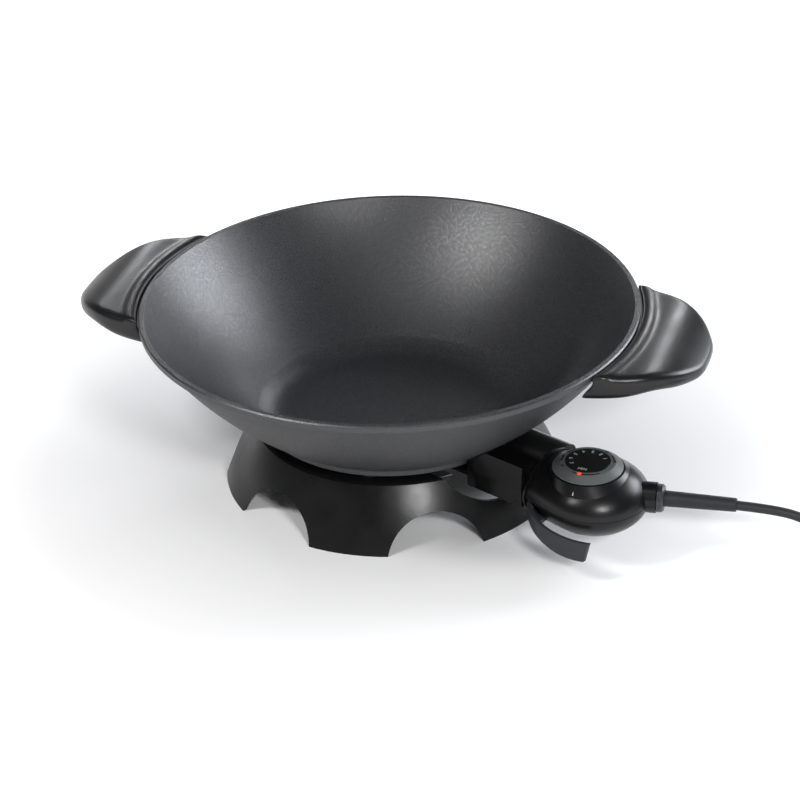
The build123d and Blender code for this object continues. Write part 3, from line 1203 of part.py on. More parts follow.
with BuildPart() as lever_room:
    for n in range(LEVER_STEPS):
        swing = LEVER_TRAVEL * n / (LEVER_STEPS - 1)
        add(lever_works(LEVER_GAP).rotate(LEVER_AXIS, swing))
    with BuildSketch(plug_floor(LEVER_HUB_TOP)):
        with Locations((LEVER_PIVOT_U, LEVER_PIVOT_W)):
            Circle(LEVER_HUB_RADIUS + LEVER_GAP)
    extrude(amount=EGG_HEIGHT - LEVER_HUB_TOP)
    with BuildSketch(plug_floor(LEVER_ARM_BOTTOM - LEVER_GAP)):
        with BuildLine():
            room_end = LEVER_PIVOT_U + LEVER_HUB_RADIUS
            room_side = -NOSE_HALF_WIDTH + SHELL + LEVER_GAP
            Polyline(
                (NOSE_FACE, room_side),
                (room_end, room_side),
                (room_end, -2 * EGG_HALF_WIDTH),
                (NOSE_FACE, -2 * EGG_HALF_WIDTH),
                close=True,
            )
        make_face()
    extrude(amount=EGG_HEIGHT - SHELL - LEVER_ARM_BOTTOM + LEVER_GAP)

with BuildPart() as pin_bore:
    with BuildSketch(plug_floor(LEVER_PIN_BOTTOM)):
        with Locations((LEVER_PIVOT_U, LEVER_PIVOT_W)):
            Circle(LEVER_PIN_RADIUS + SEAT_FIT)
    extrude(amount=LEVER_PIN_TOP - LEVER_PIN_BOTTOM)

with BuildPart() as lever_pin:
    with BuildSketch(plug_floor(LEVER_PIN_BOTTOM)):
        with Locations((LEVER_PIVOT_U, LEVER_PIVOT_W)):
            Circle(LEVER_PIN_RADIUS)
    extrude(amount=LEVER_PIN_TOP - LEVER_PIN_BOTTOM)
lever_pin.part.label = "lever_pin"
export_step(lever_pin.part, "parts/lever_pin.step")

with BuildPart() as lever_spring:
    spring_bottom = LEVER_HUB_TOP + LEVER_GAP / 2 + SPRING_WIRE
    spring_height = EGG_HEIGHT - LEVER_GAP / 4 - SPRING_WIRE - spring_bottom
    with BuildLine(Plane(origin=LEVER_PIVOT + UP * spring_bottom, x_dir=PLUG_DIR, z_dir=UP)) as wind:
        Helix(spring_height / SPRING_TURNS, spring_height, SPRING_RADIUS)
    with BuildSketch(Plane(origin=wind.line @ 0, z_dir=wind.line % 0)):
        Circle(SPRING_WIRE)
    sweep(is_frenet=True)
lever_spring.part.label = "lever_spring"
export_step(lever_spring.part, "parts/lever_spring.step")

# ---------------------------------------------------------------- housing shells

with BuildPart() as housing_upper:
    add(housing_outer)
    add(nose_flange.part)
    add(housing_inner, mode=Mode.SUBTRACT)
    add(housing_posts.part)
    add(housing_slab(EGG_BOTTOM, EGG_HEIGHT + PARTING_GAP), mode=Mode.SUBTRACT)
    with BuildPart(mode=Mode.PRIVATE) as lap_cut:
        add(housing_lap)
        add(housing_slab(EGG_HEIGHT, EGG_HEIGHT + LAP_HEIGHT + PARTING_GAP), mode=Mode.INTERSECT)
    add(lap_cut.part, mode=Mode.SUBTRACT)
    with BuildSketch(Plane(origin=DIAL_CENTRE + UP * EGG_HEIGHT, x_dir=PLUG_DIR, z_dir=UP)):
        Circle(HUB_RADIUS + HUB_GAP)
        lamp_place = (LAMP_CIRCLE * cos(radians(LAMP_TURN)), LAMP_CIRCLE * sin(radians(LAMP_TURN)))
        with Locations(lamp_place):
            Circle(NEON_RADIUS + SCREW_CLEARANCE)
    extrude(amount=SEAT_TOP, mode=Mode.SUBTRACT)
    add(plug_opening.part, mode=Mode.SUBTRACT)
    add(tail_bore.part, mode=Mode.SUBTRACT)
    add(pin_bore.part, mode=Mode.SUBTRACT)
    add(screw_holes.part, mode=Mode.SUBTRACT)
housing_upper.part.label = "housing_upper"
export_step(housing_upper.part, "parts/housing_upper.step")

with BuildPart() as housing_lower:
    add(housing_outer)
    add(nose_flange.part)
    add(housing_inner, mode=Mode.SUBTRACT)
    add(housing_posts.part)
    add(housing_slab(EGG_HEIGHT - PARTING_GAP, EGG_TOP), mode=Mode.SUBTRACT)
    add(plug_opening.part, mode=Mode.SUBTRACT)
    add(tail_bore.part, mode=Mode.SUBTRACT)
    add(lever_room.part, mode=Mode.SUBTRACT)
    add(pin_bore.part, mode=Mode.SUBTRACT)
    add(screw_holes.part, mode=Mode.SUBTRACT)
housing_lower.part.label = "housing_lower"
export_step(housing_lower.part, "parts/housing_lower.step")

with BuildPart() as housing_screws:
    add(
        ring_of_screws(
            HOUSING_SCREWS,
            HOUSING_SCREW_RADIUS,
            EGG_HEIGHT + HOUSING_SCREW_DEPTH - HEAD_SEAT - SCREW_TIP_GAP,
            HEAD_SEAT,
            plug_floor,
            HOUSING_HEAD_RATIO,
        )
    )
housing_screws.part.label = "housing_screws"
export_step(housing_screws.part, "parts/housing_screws.step")

# ---------------------------------------------------------------- plug block, contacts and probe

with BuildPart() as plug_block:
    with BuildSketch(plug_section(PLUG_BLOCK_START)):
        with Locations((0, PLUG_HEIGHT)):
            RectangleRounded(
                2 * PLUG_BLOCK_HALF_WIDTH,
                2 * PLUG_BLOCK_HALF_HEIGHT,
                PLUG_BLOCK_CORNER,
            )
    extrude(amount=PLUG_BACK - PLUG_BLOCK_START)
    with BuildSketch(plug_section(SEAT_FACE + SEAT_FIT)):
        with Locations((0, PLUG_HEIGHT)):
            RectangleRounded(
                2 * (PLUG_BLOCK_HALF_WIDTH + PLUG_FLANGE_PROUD),
                2 * (PLUG_BLOCK_HALF_HEIGHT + PLUG_FLANGE_PROUD),
                PLUG_BLOCK_HALF_HEIGHT,
            )
    extrude(amount=PLUG_FLANGE_THICKNESS - SEAT_FIT)
    with BuildSketch(plug_section(PLUG_BLOCK_START)):
        with Locations(*LEG_PLACES):
            Circle(SLEEVE_RADIUS + SEAT_FIT)
        with Locations((0, PLUG_HEIGHT)):
            Circle(PROBE_RADIUS + SEAT_FIT)
    extrude(amount=PLUG_BACK - PLUG_BLOCK_START, mode=Mode.SUBTRACT)
    # shallow grooves along the block's upper face
    with BuildSketch(plug_section(PLUG_BLOCK_START)):
        with Locations((0, PLUG_HEIGHT + PLUG_BLOCK_HALF_HEIGHT)):
            with GridLocations(LEG_OFFSET / 2, 1, 3, 1):
                Rectangle(PLUG_GROOVE_WIDTH, 2 * PLUG_GROOVE_DEPTH)
    extrude(amount=PLUG_BLOCK_HALF_WIDTH / 2, mode=Mode.SUBTRACT)
plug_block.part.label = "plug_block"
export_step(plug_block.part, "parts/plug_block.step")

with BuildPart() as contact_sleeves:
    with BuildSketch(plug_section(SLEEVE_START)):
        with Locations(*LEG_PLACES):
            Circle(SLEEVE_RADIUS)
    extrude(amount=SLEEVE_END - SLEEVE_START)
    with BuildSketch(plug_section(SLEEVE_START)):
        with Locations(*LEG_PLACES):
            Circle(PIN_RADIUS + CONTACT_GAP)
    extrude(amount=PIN_END + SLEEVE_INSET - SLEEVE_START, mode=Mode.SUBTRACT)
    with BuildSketch(plug_section(SLEEVE_END - SLEEVE_INSET)):
        with Locations(*LEG_PLACES):
            Rectangle(LUG_TAIL_WIDTH, LUG_TAIL_THICKNESS)
    extrude(amount=LUG_TAIL_END - SLEEVE_END + SLEEVE_INSET)
contact_sleeves.part.label = "contact_sleeves"
export_step(contact_sleeves.part, "parts/contact_sleeves.step")

PROBE_BORE = PROBE_RADIUS - PROBE_TUBE_WALL
PROBE_AXIS = Axis(origin=plug_point(0, 0, PLUG_HEIGHT), direction=PLUG_DIR)
PROBE_PLANE = Plane(origin=plug_point(0, 0, PLUG_HEIGHT), x_dir=PLUG_DIR, z_dir=-SIDE_DIR)

with BuildPart() as probe_tube:
    with BuildSketch(PROBE_PLANE) as probe_section:
        with BuildLine():
            Polyline(
                (PROBE_TIP, 0),
                (PROBE_TIP, PROBE_RADIUS),
                (PROBE_TUBE_END, PROBE_RADIUS),
                (PROBE_TUBE_END, PROBE_BORE),
                (PROBE_TIP + PROBE_TUBE_TIP, PROBE_BORE),
                (PROBE_TIP + PROBE_TUBE_TIP, 0),
                close=True,
            )
        make_face()
        tip_corner = probe_section.vertices().sort_by_distance((PROBE_TIP, PROBE_RADIUS))[0]
        fillet(tip_corner, PROBE_RADIUS / 2)
    revolve(axis=PROBE_AXIS)
probe_tube.part.label = "probe_tube"
export_step(probe_tube.part, "parts/probe_tube.step")

with BuildPart() as push_rod:
    rod_start = PROBE_TIP + PROBE_TUBE_TIP + SEAT_FIT
    with BuildSketch(plug_section(rod_start)):
        with Locations((0, PLUG_HEIGHT)):
            Circle(PUSH_ROD_RADIUS)
    extrude(amount=PUSH_ROD_END - rod_start)
push_rod.part.label = "push_rod"
export_step(push_rod.part, "parts/push_rod.step")

# ---------------------------------------------------------------- switch

with BuildPart() as switch_frame:
    frame_plane = Plane(origin=SIDE_DIR * FRAME_HALF_WIDTH, x_dir=PLUG_DIR, z_dir=-SIDE_DIR)
    with BuildSketch(frame_plane):
        with BuildLine():
            Polyline(
                (FRAME_LEG_U, FRAME_LEG_BOTTOM),
                (FRAME_LEG_U, FRAME_TOP),
                (FRAME_END, FRAME_TOP),
                (FRAME_END, FRAME_TOP - FRAME_SHEET),
                (FRAME_LEG_U + FRAME_SHEET, FRAME_TOP - FRAME_SHEET),
                (FRAME_LEG_U + FRAME_SHEET, FRAME_LEG_BOTTOM),
                close=True,
            )
        make_face()
    extrude(amount=2 * FRAME_HALF_WIDTH)
    with BuildSketch(plug_floor(FRAME_TOP - FRAME_SHEET)):
        with Locations((DIAL_U, 0)):
            Circle(SPINDLE_RADIUS + HUB_GAP)
    extrude(amount=FRAME_SHEET, mode=Mode.SUBTRACT)
    with BuildSketch(plug_section(FRAME_LEG_U)):
        with Locations((0, PLUG_HEIGHT)):
            Circle(PUSH_ROD_RADIUS + HUB_GAP)
    extrude(amount=FRAME_SHEET, mode=Mode.SUBTRACT)
switch_frame.part.label = "switch_frame"
export_step(switch_frame.part, "parts/switch_frame.step")

with BuildPart() as spindle_bush:
    with BuildSketch(Plane(origin=DIAL_CENTRE + UP * BUSH_BOTTOM, x_dir=PLUG_DIR, z_dir=UP)):
        Circle(BUSH_RADIUS)
        Circle(SPINDLE_RADIUS + RUNNING_GAP, mode=Mode.SUBTRACT)
    extrude(amount=BUSH_TOP - BUSH_BOTTOM)
spindle_bush.part.label = "spindle_bush"
export_step(spindle_bush.part, "parts/spindle_bush.step")

BLADE_LEVELS = [BLADE_TOP - BLADE_THICKNESS, BLADE_TOP - BLADE_THICKNESS - BLADE_SPACING]

with BuildPart() as switch_stack:
    with BuildSketch(plug_section(STACK_START)):
        with Locations((0, (STACK_BOTTOM + STACK_TOP) / 2)):
            Rectangle(2 * STACK_HALF_WIDTH, STACK_TOP - STACK_BOTTOM)
        for level in BLADE_LEVELS:
            with Locations((0, level + BLADE_THICKNESS / 2)):
                Rectangle(
                    2 * (BLADE_HALF_WIDTH + SEAT_FIT),
                    BLADE_THICKNESS + 2 * SEAT_FIT,
                    mode=Mode.SUBTRACT,
                )
    extrude(amount=STACK_END - STACK_START)
switch_stack.part.label = "switch_stack"
export_step(switch_stack.part, "parts/switch_stack.step")

with BuildPart() as switch_blades:
    for level, face in zip(BLADE_LEVELS, (-1, 1)):
        with BuildSketch(plug_section(STACK_START)):
            with Locations((0, level + BLADE_THICKNESS / 2)):
                Rectangle(2 * BLADE_HALF_WIDTH, BLADE_THICKNESS)
        extrude(amount=BLADE_END - STACK_START)
        with BuildSketch(plug_floor(level + BLADE_THICKNESS / 2)):
            with Locations((BLADE_END - CONTACT_SETBACK, 0)):
                Circle(CONTACT_RADIUS)
        extrude(amount=face * (CONTACT_HEIGHT + BLADE_THICKNESS / 2))
switch_blades.part.label = "switch_blades"
export_step(switch_blades.part, "parts/switch_blades.step")

lamp_spot = DIAL_CENTRE + PLUG_DIR * lamp_place[0] + SIDE_DIR * lamp_place[1]

with BuildPart() as neon_lamp:
    with BuildSketch(Plane(origin=lamp_spot + UP * NEON_BOTTOM)):
        Circle(NEON_RADIUS)
    extrude(amount=NEON_TOP - NEON_BOTTOM)
    fillet(neon_lamp.edges().group_by(Axis.Z)[-1], NEON_RADIUS / 2)
neon_lamp.part.label = "neon_lamp"
export_step(neon_lamp.part, "parts/neon_lamp.step")

# ---------------------------------------------------------------- dial

DIAL_PLANE = Plane(origin=DIAL_CENTRE, x_dir=PLUG_DIR, z_dir=-SIDE_DIR)
DIAL_AXIS = Axis(origin=DIAL_CENTRE, direction=UP)
BAND_TOP = DIAL_TOP - DIAL_FACE_THICKNESS / 2

with BuildPart() as dial_knob:
    with BuildSketch(DIAL_PLANE):
        with BuildLine():
            Polyline(
                (HUB_RADIUS, HUB_BOTTOM),
                (HUB_RADIUS, FACE_FLOOR - DIAL_WALL),
                (DIAL_BAND_RADIUS - DIAL_WALL, FACE_FLOOR - DIAL_WALL),
                (DIAL_RADIUS - DIAL_WALL, DIAL_BASE),
                (DIAL_RADIUS, DIAL_BASE),
                (DIAL_RADIUS, DIAL_BASE + DIAL_GRIP),
                (DIAL_BAND_RADIUS, BAND_TOP - DIAL_FACE_THICKNESS / 2),
                (DIAL_FACE_RADIUS + DIAL_FACE_GAP, BAND_TOP),
                (DIAL_FACE_RADIUS + DIAL_FACE_GAP, FACE_FLOOR),
                (0, FACE_FLOOR),
                (0, HUB_BOTTOM),
                close=True,
            )
        make_face()
    revolve(axis=DIAL_AXIS)
    rib_outer = DIAL_BAND_RADIUS - DIAL_WALL
    rib_bottom = DIAL_BASE + DIAL_GRIP
    with BuildSketch(Plane(origin=DIAL_CENTRE + UP * rib_bottom, x_dir=PLUG_DIR, z_dir=UP)):
        with PolarLocations((HUB_RADIUS + rib_outer) / 2, DIAL_RIBS, DIAL_RIB_TURN):
            Rectangle(rib_outer - HUB_RADIUS + DIAL_RIB, DIAL_RIB)
    extrude(amount=FACE_FLOOR - DIAL_WALL / 2 - rib_bottom)
    with BuildSketch(Plane(origin=DIAL_CENTRE + UP * HUB_BOTTOM, x_dir=PLUG_DIR, z_dir=UP)):
        Circle(SPINDLE_RADIUS + SPINDLE_FIT)
    extrude(amount=SPINDLE_TOP - HUB_BOTTOM, mode=Mode.SUBTRACT)
    with BuildSketch(Plane(origin=lamp_spot + UP * DIAL_BASE)):
        Circle(LAMP_RADIUS + SEAT_FIT)
    extrude(amount=DIAL_TOP - DIAL_BASE, mode=Mode.SUBTRACT)
dial_knob.part.label = "dial_knob"
export_step(dial_knob.part, "parts/dial_knob.step")

with BuildPart() as dial_face:
    with BuildSketch(Plane(origin=DIAL_CENTRE + UP * FACE_FLOOR)):
        Circle(DIAL_FACE_RADIUS)
    extrude(amount=DIAL_FACE_THICKNESS)
    chamfer(dial_face.edges().group_by(Axis.Z)[-1], DIAL_FACE_THICKNESS / 4)
dial_face.part.label = "dial_face"
export_step(dial_face.part, "parts/dial_face.step")

with BuildPart() as lamp_lens:
    lens_bottom = FACE_FLOOR - DIAL_WALL - LAMP_FOOT
    with BuildSketch(Plane(origin=lamp_spot + UP * lens_bottom)):
        Circle(LAMP_RADIUS)
    extrude(amount=DIAL_TOP - lens_bottom)
    fillet(lamp_lens.edges().group_by(Axis.Z)[-1], LAMP_RADIUS / 2)
lamp_lens.part.label = "lamp_lens"
export_step(lamp_lens.part, "parts/lamp_lens.step")

with BuildPart() as dial_spindle:
    with BuildSketch(Plane(origin=DIAL_CENTRE + UP * SPINDLE_BOTTOM)):
        Circle(SPINDLE_RADIUS)
    extrude(amount=SPINDLE_TOP - SPINDLE_BOTTOM)
    chamfer(dial_spindle.edges().group_by(Axis.Z)[0], SPINDLE_RADIUS / 4)
dial_spindle.part.label = "dial_spindle"
export_step(dial_spindle.part, "parts/dial_spindle.step")

# ---------------------------------------------------------------- cord exit

with BuildPart() as cord_gland:
    with BuildSketch(exit_section(STEM_START)):
        Circle(GLAND_STEM_RADIUS)
    extrude(amount=GLAND_START - STEM_START)
    with BuildSketch(exit_section(GLAND_START)):
        Circle(GLAND_RADIUS)
    extrude(amount=GLAND_LENGTH)
    exit_axis = Axis(origin=DIAL_CENTRE, direction=EXIT_DIR)
    gland_rims = cord_gland.edges().filter_by(GeomType.CIRCLE).sort_by(exit_axis)
    chamfer(gland_rims[-1], GLAND_CHAMFER)
    with BuildSketch(exit_section(STEM_START)):
        Circle(CORD_RADIUS + SEAT_FIT)
    extrude(amount=GLAND_END - STEM_START, mode=Mode.SUBTRACT)
    with BuildSketch(exit_section(RELIEF_START)):
        Circle(RELIEF_ROOT_RADIUS + SEAT_FIT)
    extrude(amount=RELIEF_SOCKET, mode=Mode.SUBTRACT)
cord_gland.part.label = "cord_gland"
export_step(cord_gland.part, "parts/cord_gland.step")

with BuildPart() as strain_relief:
    with BuildSketch(exit_section(RELIEF_START + SEAT_FIT)):
        Circle(RELIEF_ROOT_RADIUS)
    extrude(amount=RELIEF_SOCKET)
    with BuildSketch(exit_section(GLAND_END)):
        Circle(RELIEF_ROOT_RADIUS)
    with BuildSketch(exit_section(RELIEF_END)):
        Circle(RELIEF_TIP_RADIUS)
    loft()
    relief_rims = strain_relief.edges().filter_by(GeomType.CIRCLE).sort_by(exit_axis)
    fillet(relief_rims[-1], RELIEF_EDGE)
    with BuildSketch(exit_section(RELIEF_START)):
        Circle(CORD_RADIUS + SEAT_FIT)
    extrude(amount=RELIEF_END - RELIEF_START, mode=Mode.SUBTRACT)
strain_relief.part.label = "strain_relief"
export_step(strain_relief.part, "parts/strain_relief.step")

with BuildPart() as cord_end:
    with BuildSketch(exit_section(CLAMP_START - CORD_RADIUS)):
        Circle(CORD_RADIUS)
    extrude(amount=LEAD_START - CLAMP_START + CORD_RADIUS)
cord_end.part.label = "cord_end"
export_step(cord_end.part, "parts/cord_end.step")

with BuildPart() as cord_clamp:
    with BuildSketch(exit_section(CLAMP_START)):
        RectangleRounded(2 * CLAMP_HALF_WIDTH, 2 * CLAMP_HEIGHT, CLAMP_CORNER)
        Circle(CORD_RADIUS + SEAT_FIT, mode=Mode.SUBTRACT)
    extrude(amount=CLAMP_END - CLAMP_START)
    clamp_middle = DIAL_CENTRE + EXIT_DIR * (CLAMP_START + CLAMP_END) / 2
    with BuildSketch(Plane(origin=clamp_middle, x_dir=UP.cross(EXIT_DIR), z_dir=UP)):
        with GridLocations(CLAMP_SCREW_SPACING, 1, 2, 1):
            Circle(CLAMP_SCREW_RADIUS + SEAT_FIT)
    extrude(amount=SEAT_TOP, mode=Mode.SUBTRACT)
cord_clamp.part.label = "cord_clamp"
export_step(cord_clamp.part, "parts/cord_clamp.step")

with BuildPart() as clamp_screws:
    clamp_top = CORD_EXIT_HEIGHT + CLAMP_HEIGHT
    clamp_bottom = CORD_EXIT_HEIGHT - CLAMP_HEIGHT
    with BuildSketch(Plane(origin=clamp_middle + UP * clamp_bottom, x_dir=UP.cross(EXIT_DIR), z_dir=UP)):
        with GridLocations(CLAMP_SCREW_SPACING, 1, 2, 1):
            Circle(CLAMP_SCREW_RADIUS)
    extrude(amount=2 * CLAMP_HEIGHT)
    with BuildSketch(Plane(origin=clamp_middle + UP * clamp_top, x_dir=UP.cross(EXIT_DIR), z_dir=UP)):
        with GridLocations(CLAMP_SCREW_SPACING, 1, 2, 1):
            Circle(CLAMP_SCREW_RADIUS * SCREW_HEAD_RATIO)
    extrude(amount=CLAMP_SCREW_RADIUS)
clamp_screws.part.label = "clamp_screws"
export_step(clamp_screws.part, "parts/clamp_screws.step")

# ---------------------------------------------------------------- cord


def route_radii(route):
    """Bend radius at each inner point of a route."""
    radii = []
    for before, corner, after in zip(route, route[1:], route[2:]):
        arriving = Vector(*corner) - Vector(*before)
        leaving = Vector(*after) - Vector(*corner)
        half_turn = radians(arriving.get_angle(leaving)) / 2
        shorter = min(arriving.length, leaving.length)
        radii.append(ROUTE_ARC_SHARE * shorter / tan(half_turn))
    return radii


def cord_along(route, name):
    """A round cord along a route of straight runs joined by arcs."""
    radii = route_radii(route)
    print(name, "bend radii", [round(radius, 1) for radius in radii])
    with BuildPart() as cord:
        with BuildLine() as path:
            FilletPolyline(*route, radius=radii)
        with BuildSketch(Plane(origin=path.line @ 0, z_dir=path.line % 0)):
            Circle(CORD_RADIUS)
        sweep()
    length = sum(edge.length for edge in path.edges())
    share = cord.part.volume / (pi * CORD_RADIUS**2 * length)
    print(name, "length", round(length, 1), "solid / section x length", round(share, 4))
    return cord.part


def lead_point(along, height):
    """A point above or below the axis of the cord's exit."""
    point = DIAL_CENTRE + EXIT_DIR * along + UP * height
    return (point.X, point.Y, point.Z)


# The lead falls from the thermostat to the worktop and runs on to its coil.
LEAD_ROUTE = [lead_point(LEAD_START, CORD_EXIT_HEIGHT), lead_point(LEAD_BEND, CORD_EXIT_HEIGHT)]
for along, height in LEAD_FALL:
    LEAD_ROUTE.append(lead_point(LEAD_BEND + along * CORD_EXIT_HEIGHT, height * CORD_EXIT_HEIGHT))
COIL_X = LEAD_ROUTE[-1][0] + COIL_OFFSET[0] * COIL_OUTER_RADIUS
COIL_Y = LEAD_ROUTE[-1][1] + COIL_OFFSET[1] * COIL_OUTER_RADIUS

# From the coil the rest of the cord dips to the worktop and climbs to the mains plug.
TAIL_HEIGHTS = [
    COIL_LIFT + COIL_HEIGHT - CORD_RADIUS - CORD_LIFT,
    TAIL_DIP * CORD_RADIUS,
    CORD_RADIUS + CORD_LIFT,
    TAIL_CLIMB * CORD_RADIUS,
    MAINS_HEIGHT,
    MAINS_HEIGHT,
]
TAIL_ROUTE = [
    (COIL_X + across * COIL_OUTER_RADIUS, COIL_Y + back * COIL_OUTER_RADIUS, height)
    for (across, back), height in zip(TAIL_RUN, TAIL_HEIGHTS)
]

with BuildPart() as cord_lead:
    add(cord_along(LEAD_ROUTE, "lead"))
cord_lead.part.label = "cord_lead"
export_step(cord_lead.part, "parts/cord_lead.step")

with BuildPart() as cord_coil:
    with BuildSketch(Plane((COIL_X, COIL_Y, COIL_LIFT))):
        Circle(COIL_OUTER_RADIUS)
        Circle(COIL_INNER_RADIUS, mode=Mode.SUBTRACT)
    extrude(amount=COIL_HEIGHT)
    fillet(cord_coil.edges(), COIL_EDGE)
cord_coil.part.label = "cord_coil"
export_step(cord_coil.part, "parts/cord_coil.step")

with BuildPart() as cord_tail:
    add(cord_along(TAIL_ROUTE, "tail"))
cord_tail.part.label = "cord_tail"
export_step(cord_tail.part, "parts/cord_tail.step")

# ---------------------------------------------------------------- mains plug

MAINS_ENTRY = Vector(*TAIL_ROUTE[-1])
MAINS_DIR = (MAINS_ENTRY - Vector(*TAIL_ROUTE[-2])).normalized()
MAINS_SIDE = UP.cross(MAINS_DIR)


def mains_section(along):
    """A plane across the mains plug, centred on its axis."""
    return Plane(origin=MAINS_ENTRY + MAINS_DIR * along, x_dir=MAINS_SIDE, z_dir=MAINS_DIR)


with BuildPart() as mains_body:
    with BuildSketch(Plane(origin=MAINS_ENTRY, x_dir=MAINS_DIR, z_dir=-MAINS_SIDE)):
        with BuildLine():
            Polyline(
                (0, 0),
                (0, MAINS_TAIL_RADIUS),
                (MAINS_GRIP_START - MAINS_STEP, MAINS_TAIL_RADIUS + MAINS_STEP),
                (MAINS_GRIP_START, MAINS_GRIP_RADIUS),
                (MAINS_BODY_START - 2 * MAINS_STEP, MAINS_GRIP_RADIUS - MAINS_STEP / 2),
                (MAINS_BODY_START, MAINS_BODY_RADIUS - MAINS_STEP / 2),
                (MAINS_BODY_START + MAINS_STEP, MAINS_BODY_RADIUS),
                (MAINS_BODY_END, MAINS_BODY_RADIUS),
                (MAINS_BODY_END, 0),
                close=True,
            )
        make_face()
    revolve(axis=Axis(origin=MAINS_ENTRY, direction=MAINS_DIR))
    with BuildSketch(mains_section(MAINS_BODY_START + MAINS_CLIP_INSET)):
        with GridLocations(1, 2 * MAINS_BODY_RADIUS, 1, 2):
            Rectangle(MAINS_CLIP_WIDTH, 2 * MAINS_CLIP_GROOVE)
    extrude(amount=MAINS_BODY_END - MAINS_BODY_START, mode=Mode.SUBTRACT)
    with BuildSketch(mains_section(MAINS_BODY_END - MAINS_PIN_ROOT)):
        with GridLocations(MAINS_PIN_SPACING, 1, 2, 1):
            Circle(MAINS_PIN_ROOT_RADIUS + SEAT_FIT)
    extrude(amount=MAINS_PIN_ROOT, mode=Mode.SUBTRACT)
mains_body.part.label = "mains_body"
export_step(mains_body.part, "parts/mains_body.step")

with BuildPart() as mains_pins:
    with BuildSketch(mains_section(MAINS_BODY_END - MAINS_PIN_ROOT)):
        with GridLocations(MAINS_PIN_SPACING, 1, 2, 1):
            Circle(MAINS_PIN_ROOT_RADIUS)
    extrude(amount=MAINS_PIN_ROOT)
    with BuildSketch(mains_section(MAINS_BODY_END)):
        with GridLocations(MAINS_PIN_SPACING, 1, 2, 1):
            Circle(MAINS_PIN_RADIUS)
    extrude(amount=MAINS_PIN_LENGTH)
    pin_tips = mains_pins.edges().filter_by(GeomType.CIRCLE)
    pin_tips = pin_tips.sort_by(Axis(origin=MAINS_ENTRY, direction=MAINS_DIR))[-2:]
    fillet(pin_tips, 0.6 * MAINS_PIN_RADIUS)
mains_pins.part.label = "mains_pins"
export_step(mains_pins.part, "parts/mains_pins.step")

with BuildPart() as mains_clips:
    clip_level = MAINS_BODY_RADIUS - MAINS_CLIP_GROOVE + MAINS_CLIP_THICKNESS / 2 + SEAT_FIT
    with BuildSketch(mains_section(MAINS_BODY_START + MAINS_CLIP_INSET + SEAT_FIT)):
        with GridLocations(1, 2 * clip_level, 1, 2):
            Rectangle(MAINS_CLIP_WIDTH - MAINS_CLIP_INSET, MAINS_CLIP_THICKNESS)
    extrude(amount=MAINS_BODY_END - MAINS_BODY_START - 2 * MAINS_CLIP_INSET)
mains_clips.part.label = "mains_clips"
export_step(mains_clips.part, "parts/mains_clips.step")
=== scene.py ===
from math import cos, pi, radians, sin

import bpy
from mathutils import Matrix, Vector


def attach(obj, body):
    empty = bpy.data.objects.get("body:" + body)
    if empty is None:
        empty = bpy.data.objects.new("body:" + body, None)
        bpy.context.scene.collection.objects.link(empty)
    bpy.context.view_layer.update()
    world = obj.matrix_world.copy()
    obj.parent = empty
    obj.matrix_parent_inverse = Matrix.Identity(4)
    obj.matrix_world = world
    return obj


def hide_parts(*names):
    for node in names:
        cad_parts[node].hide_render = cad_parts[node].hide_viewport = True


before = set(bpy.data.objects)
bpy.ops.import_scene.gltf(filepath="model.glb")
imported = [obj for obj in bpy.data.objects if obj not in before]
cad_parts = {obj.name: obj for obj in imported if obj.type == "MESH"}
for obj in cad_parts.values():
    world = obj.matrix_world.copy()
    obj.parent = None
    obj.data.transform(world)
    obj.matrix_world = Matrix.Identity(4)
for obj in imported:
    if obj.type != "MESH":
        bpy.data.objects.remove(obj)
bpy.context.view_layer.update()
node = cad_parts
scene = bpy.context.scene
scene.view_settings.view_transform = "Standard"

# ------------------------------------------------------------------ camera

CAMERA_PLACE = (0.53269, -1.63349, 1.02606)
CAMERA_TURN = (60.550, 1.478, 17.041)  # in degrees
CAMERA_LENS = 121.29  # in millimetres, for a sensor 36 mm wide

bpy.ops.object.select_all(action="DESELECT")
bpy.ops.object.camera_add(
    location=CAMERA_PLACE, rotation=[radians(turn) for turn in CAMERA_TURN]
)
camera = bpy.context.active_object
camera.name = "camera"
camera.data.lens = CAMERA_LENS
camera.data.sensor_width = 36.0
camera.data.clip_end = 30.0
scene.camera = camera

# ------------------------------------------------------------------ places on the wok

PLUG_TURN = radians(-24.0)
EXIT_TURN = radians(4.5)
PLUG_DIR = Vector((cos(PLUG_TURN), sin(PLUG_TURN), 0.0))
PLUG_SIDE = Vector((-sin(PLUG_TURN), cos(PLUG_TURN), 0.0))
EXIT_DIR = Vector((cos(EXIT_TURN), sin(EXIT_TURN), 0.0))
DIAL = PLUG_DIR * 0.180
EXIT_HEIGHT = 0.047


def exit_point(along):
    """A point on the axis of the cord's exit, measured from the dial's axis."""
    point = DIAL + EXIT_DIR * along
    return (point.x, point.y, EXIT_HEIGHT)


# ------------------------------------------------------------------ mains cord

CORD_THICKNESS = 0.0068
CORD_EXIT = exit_point(0.078)
LEAD_ROUTE = [
    CORD_EXIT,
    exit_point(0.125),
    (0.3186, -0.0611, 0.0406),
    (0.3447, -0.0590, 0.0203),
    (0.3661, -0.0573, 0.0062),
]
COIL_CENTRE = (0.3951, -0.0135)
COIL_START = -99.4
COIL_END = 1100.0
COIL_STEP = 25.0
TAIL_ROUTE = [
    (0.4346, 0.0009, 0.0104),
    (0.4288, 0.0242, 0.0062),
    (0.4276, 0.0482, 0.0037),
    (0.4296, 0.0720, 0.0096),
    (0.4316, 0.0940, 0.0188),
    (0.4335, 0.1140, 0.0188),
]
# radius and height of the coil's first turn
COIL_FIRST = (0.0422, 0.0037)
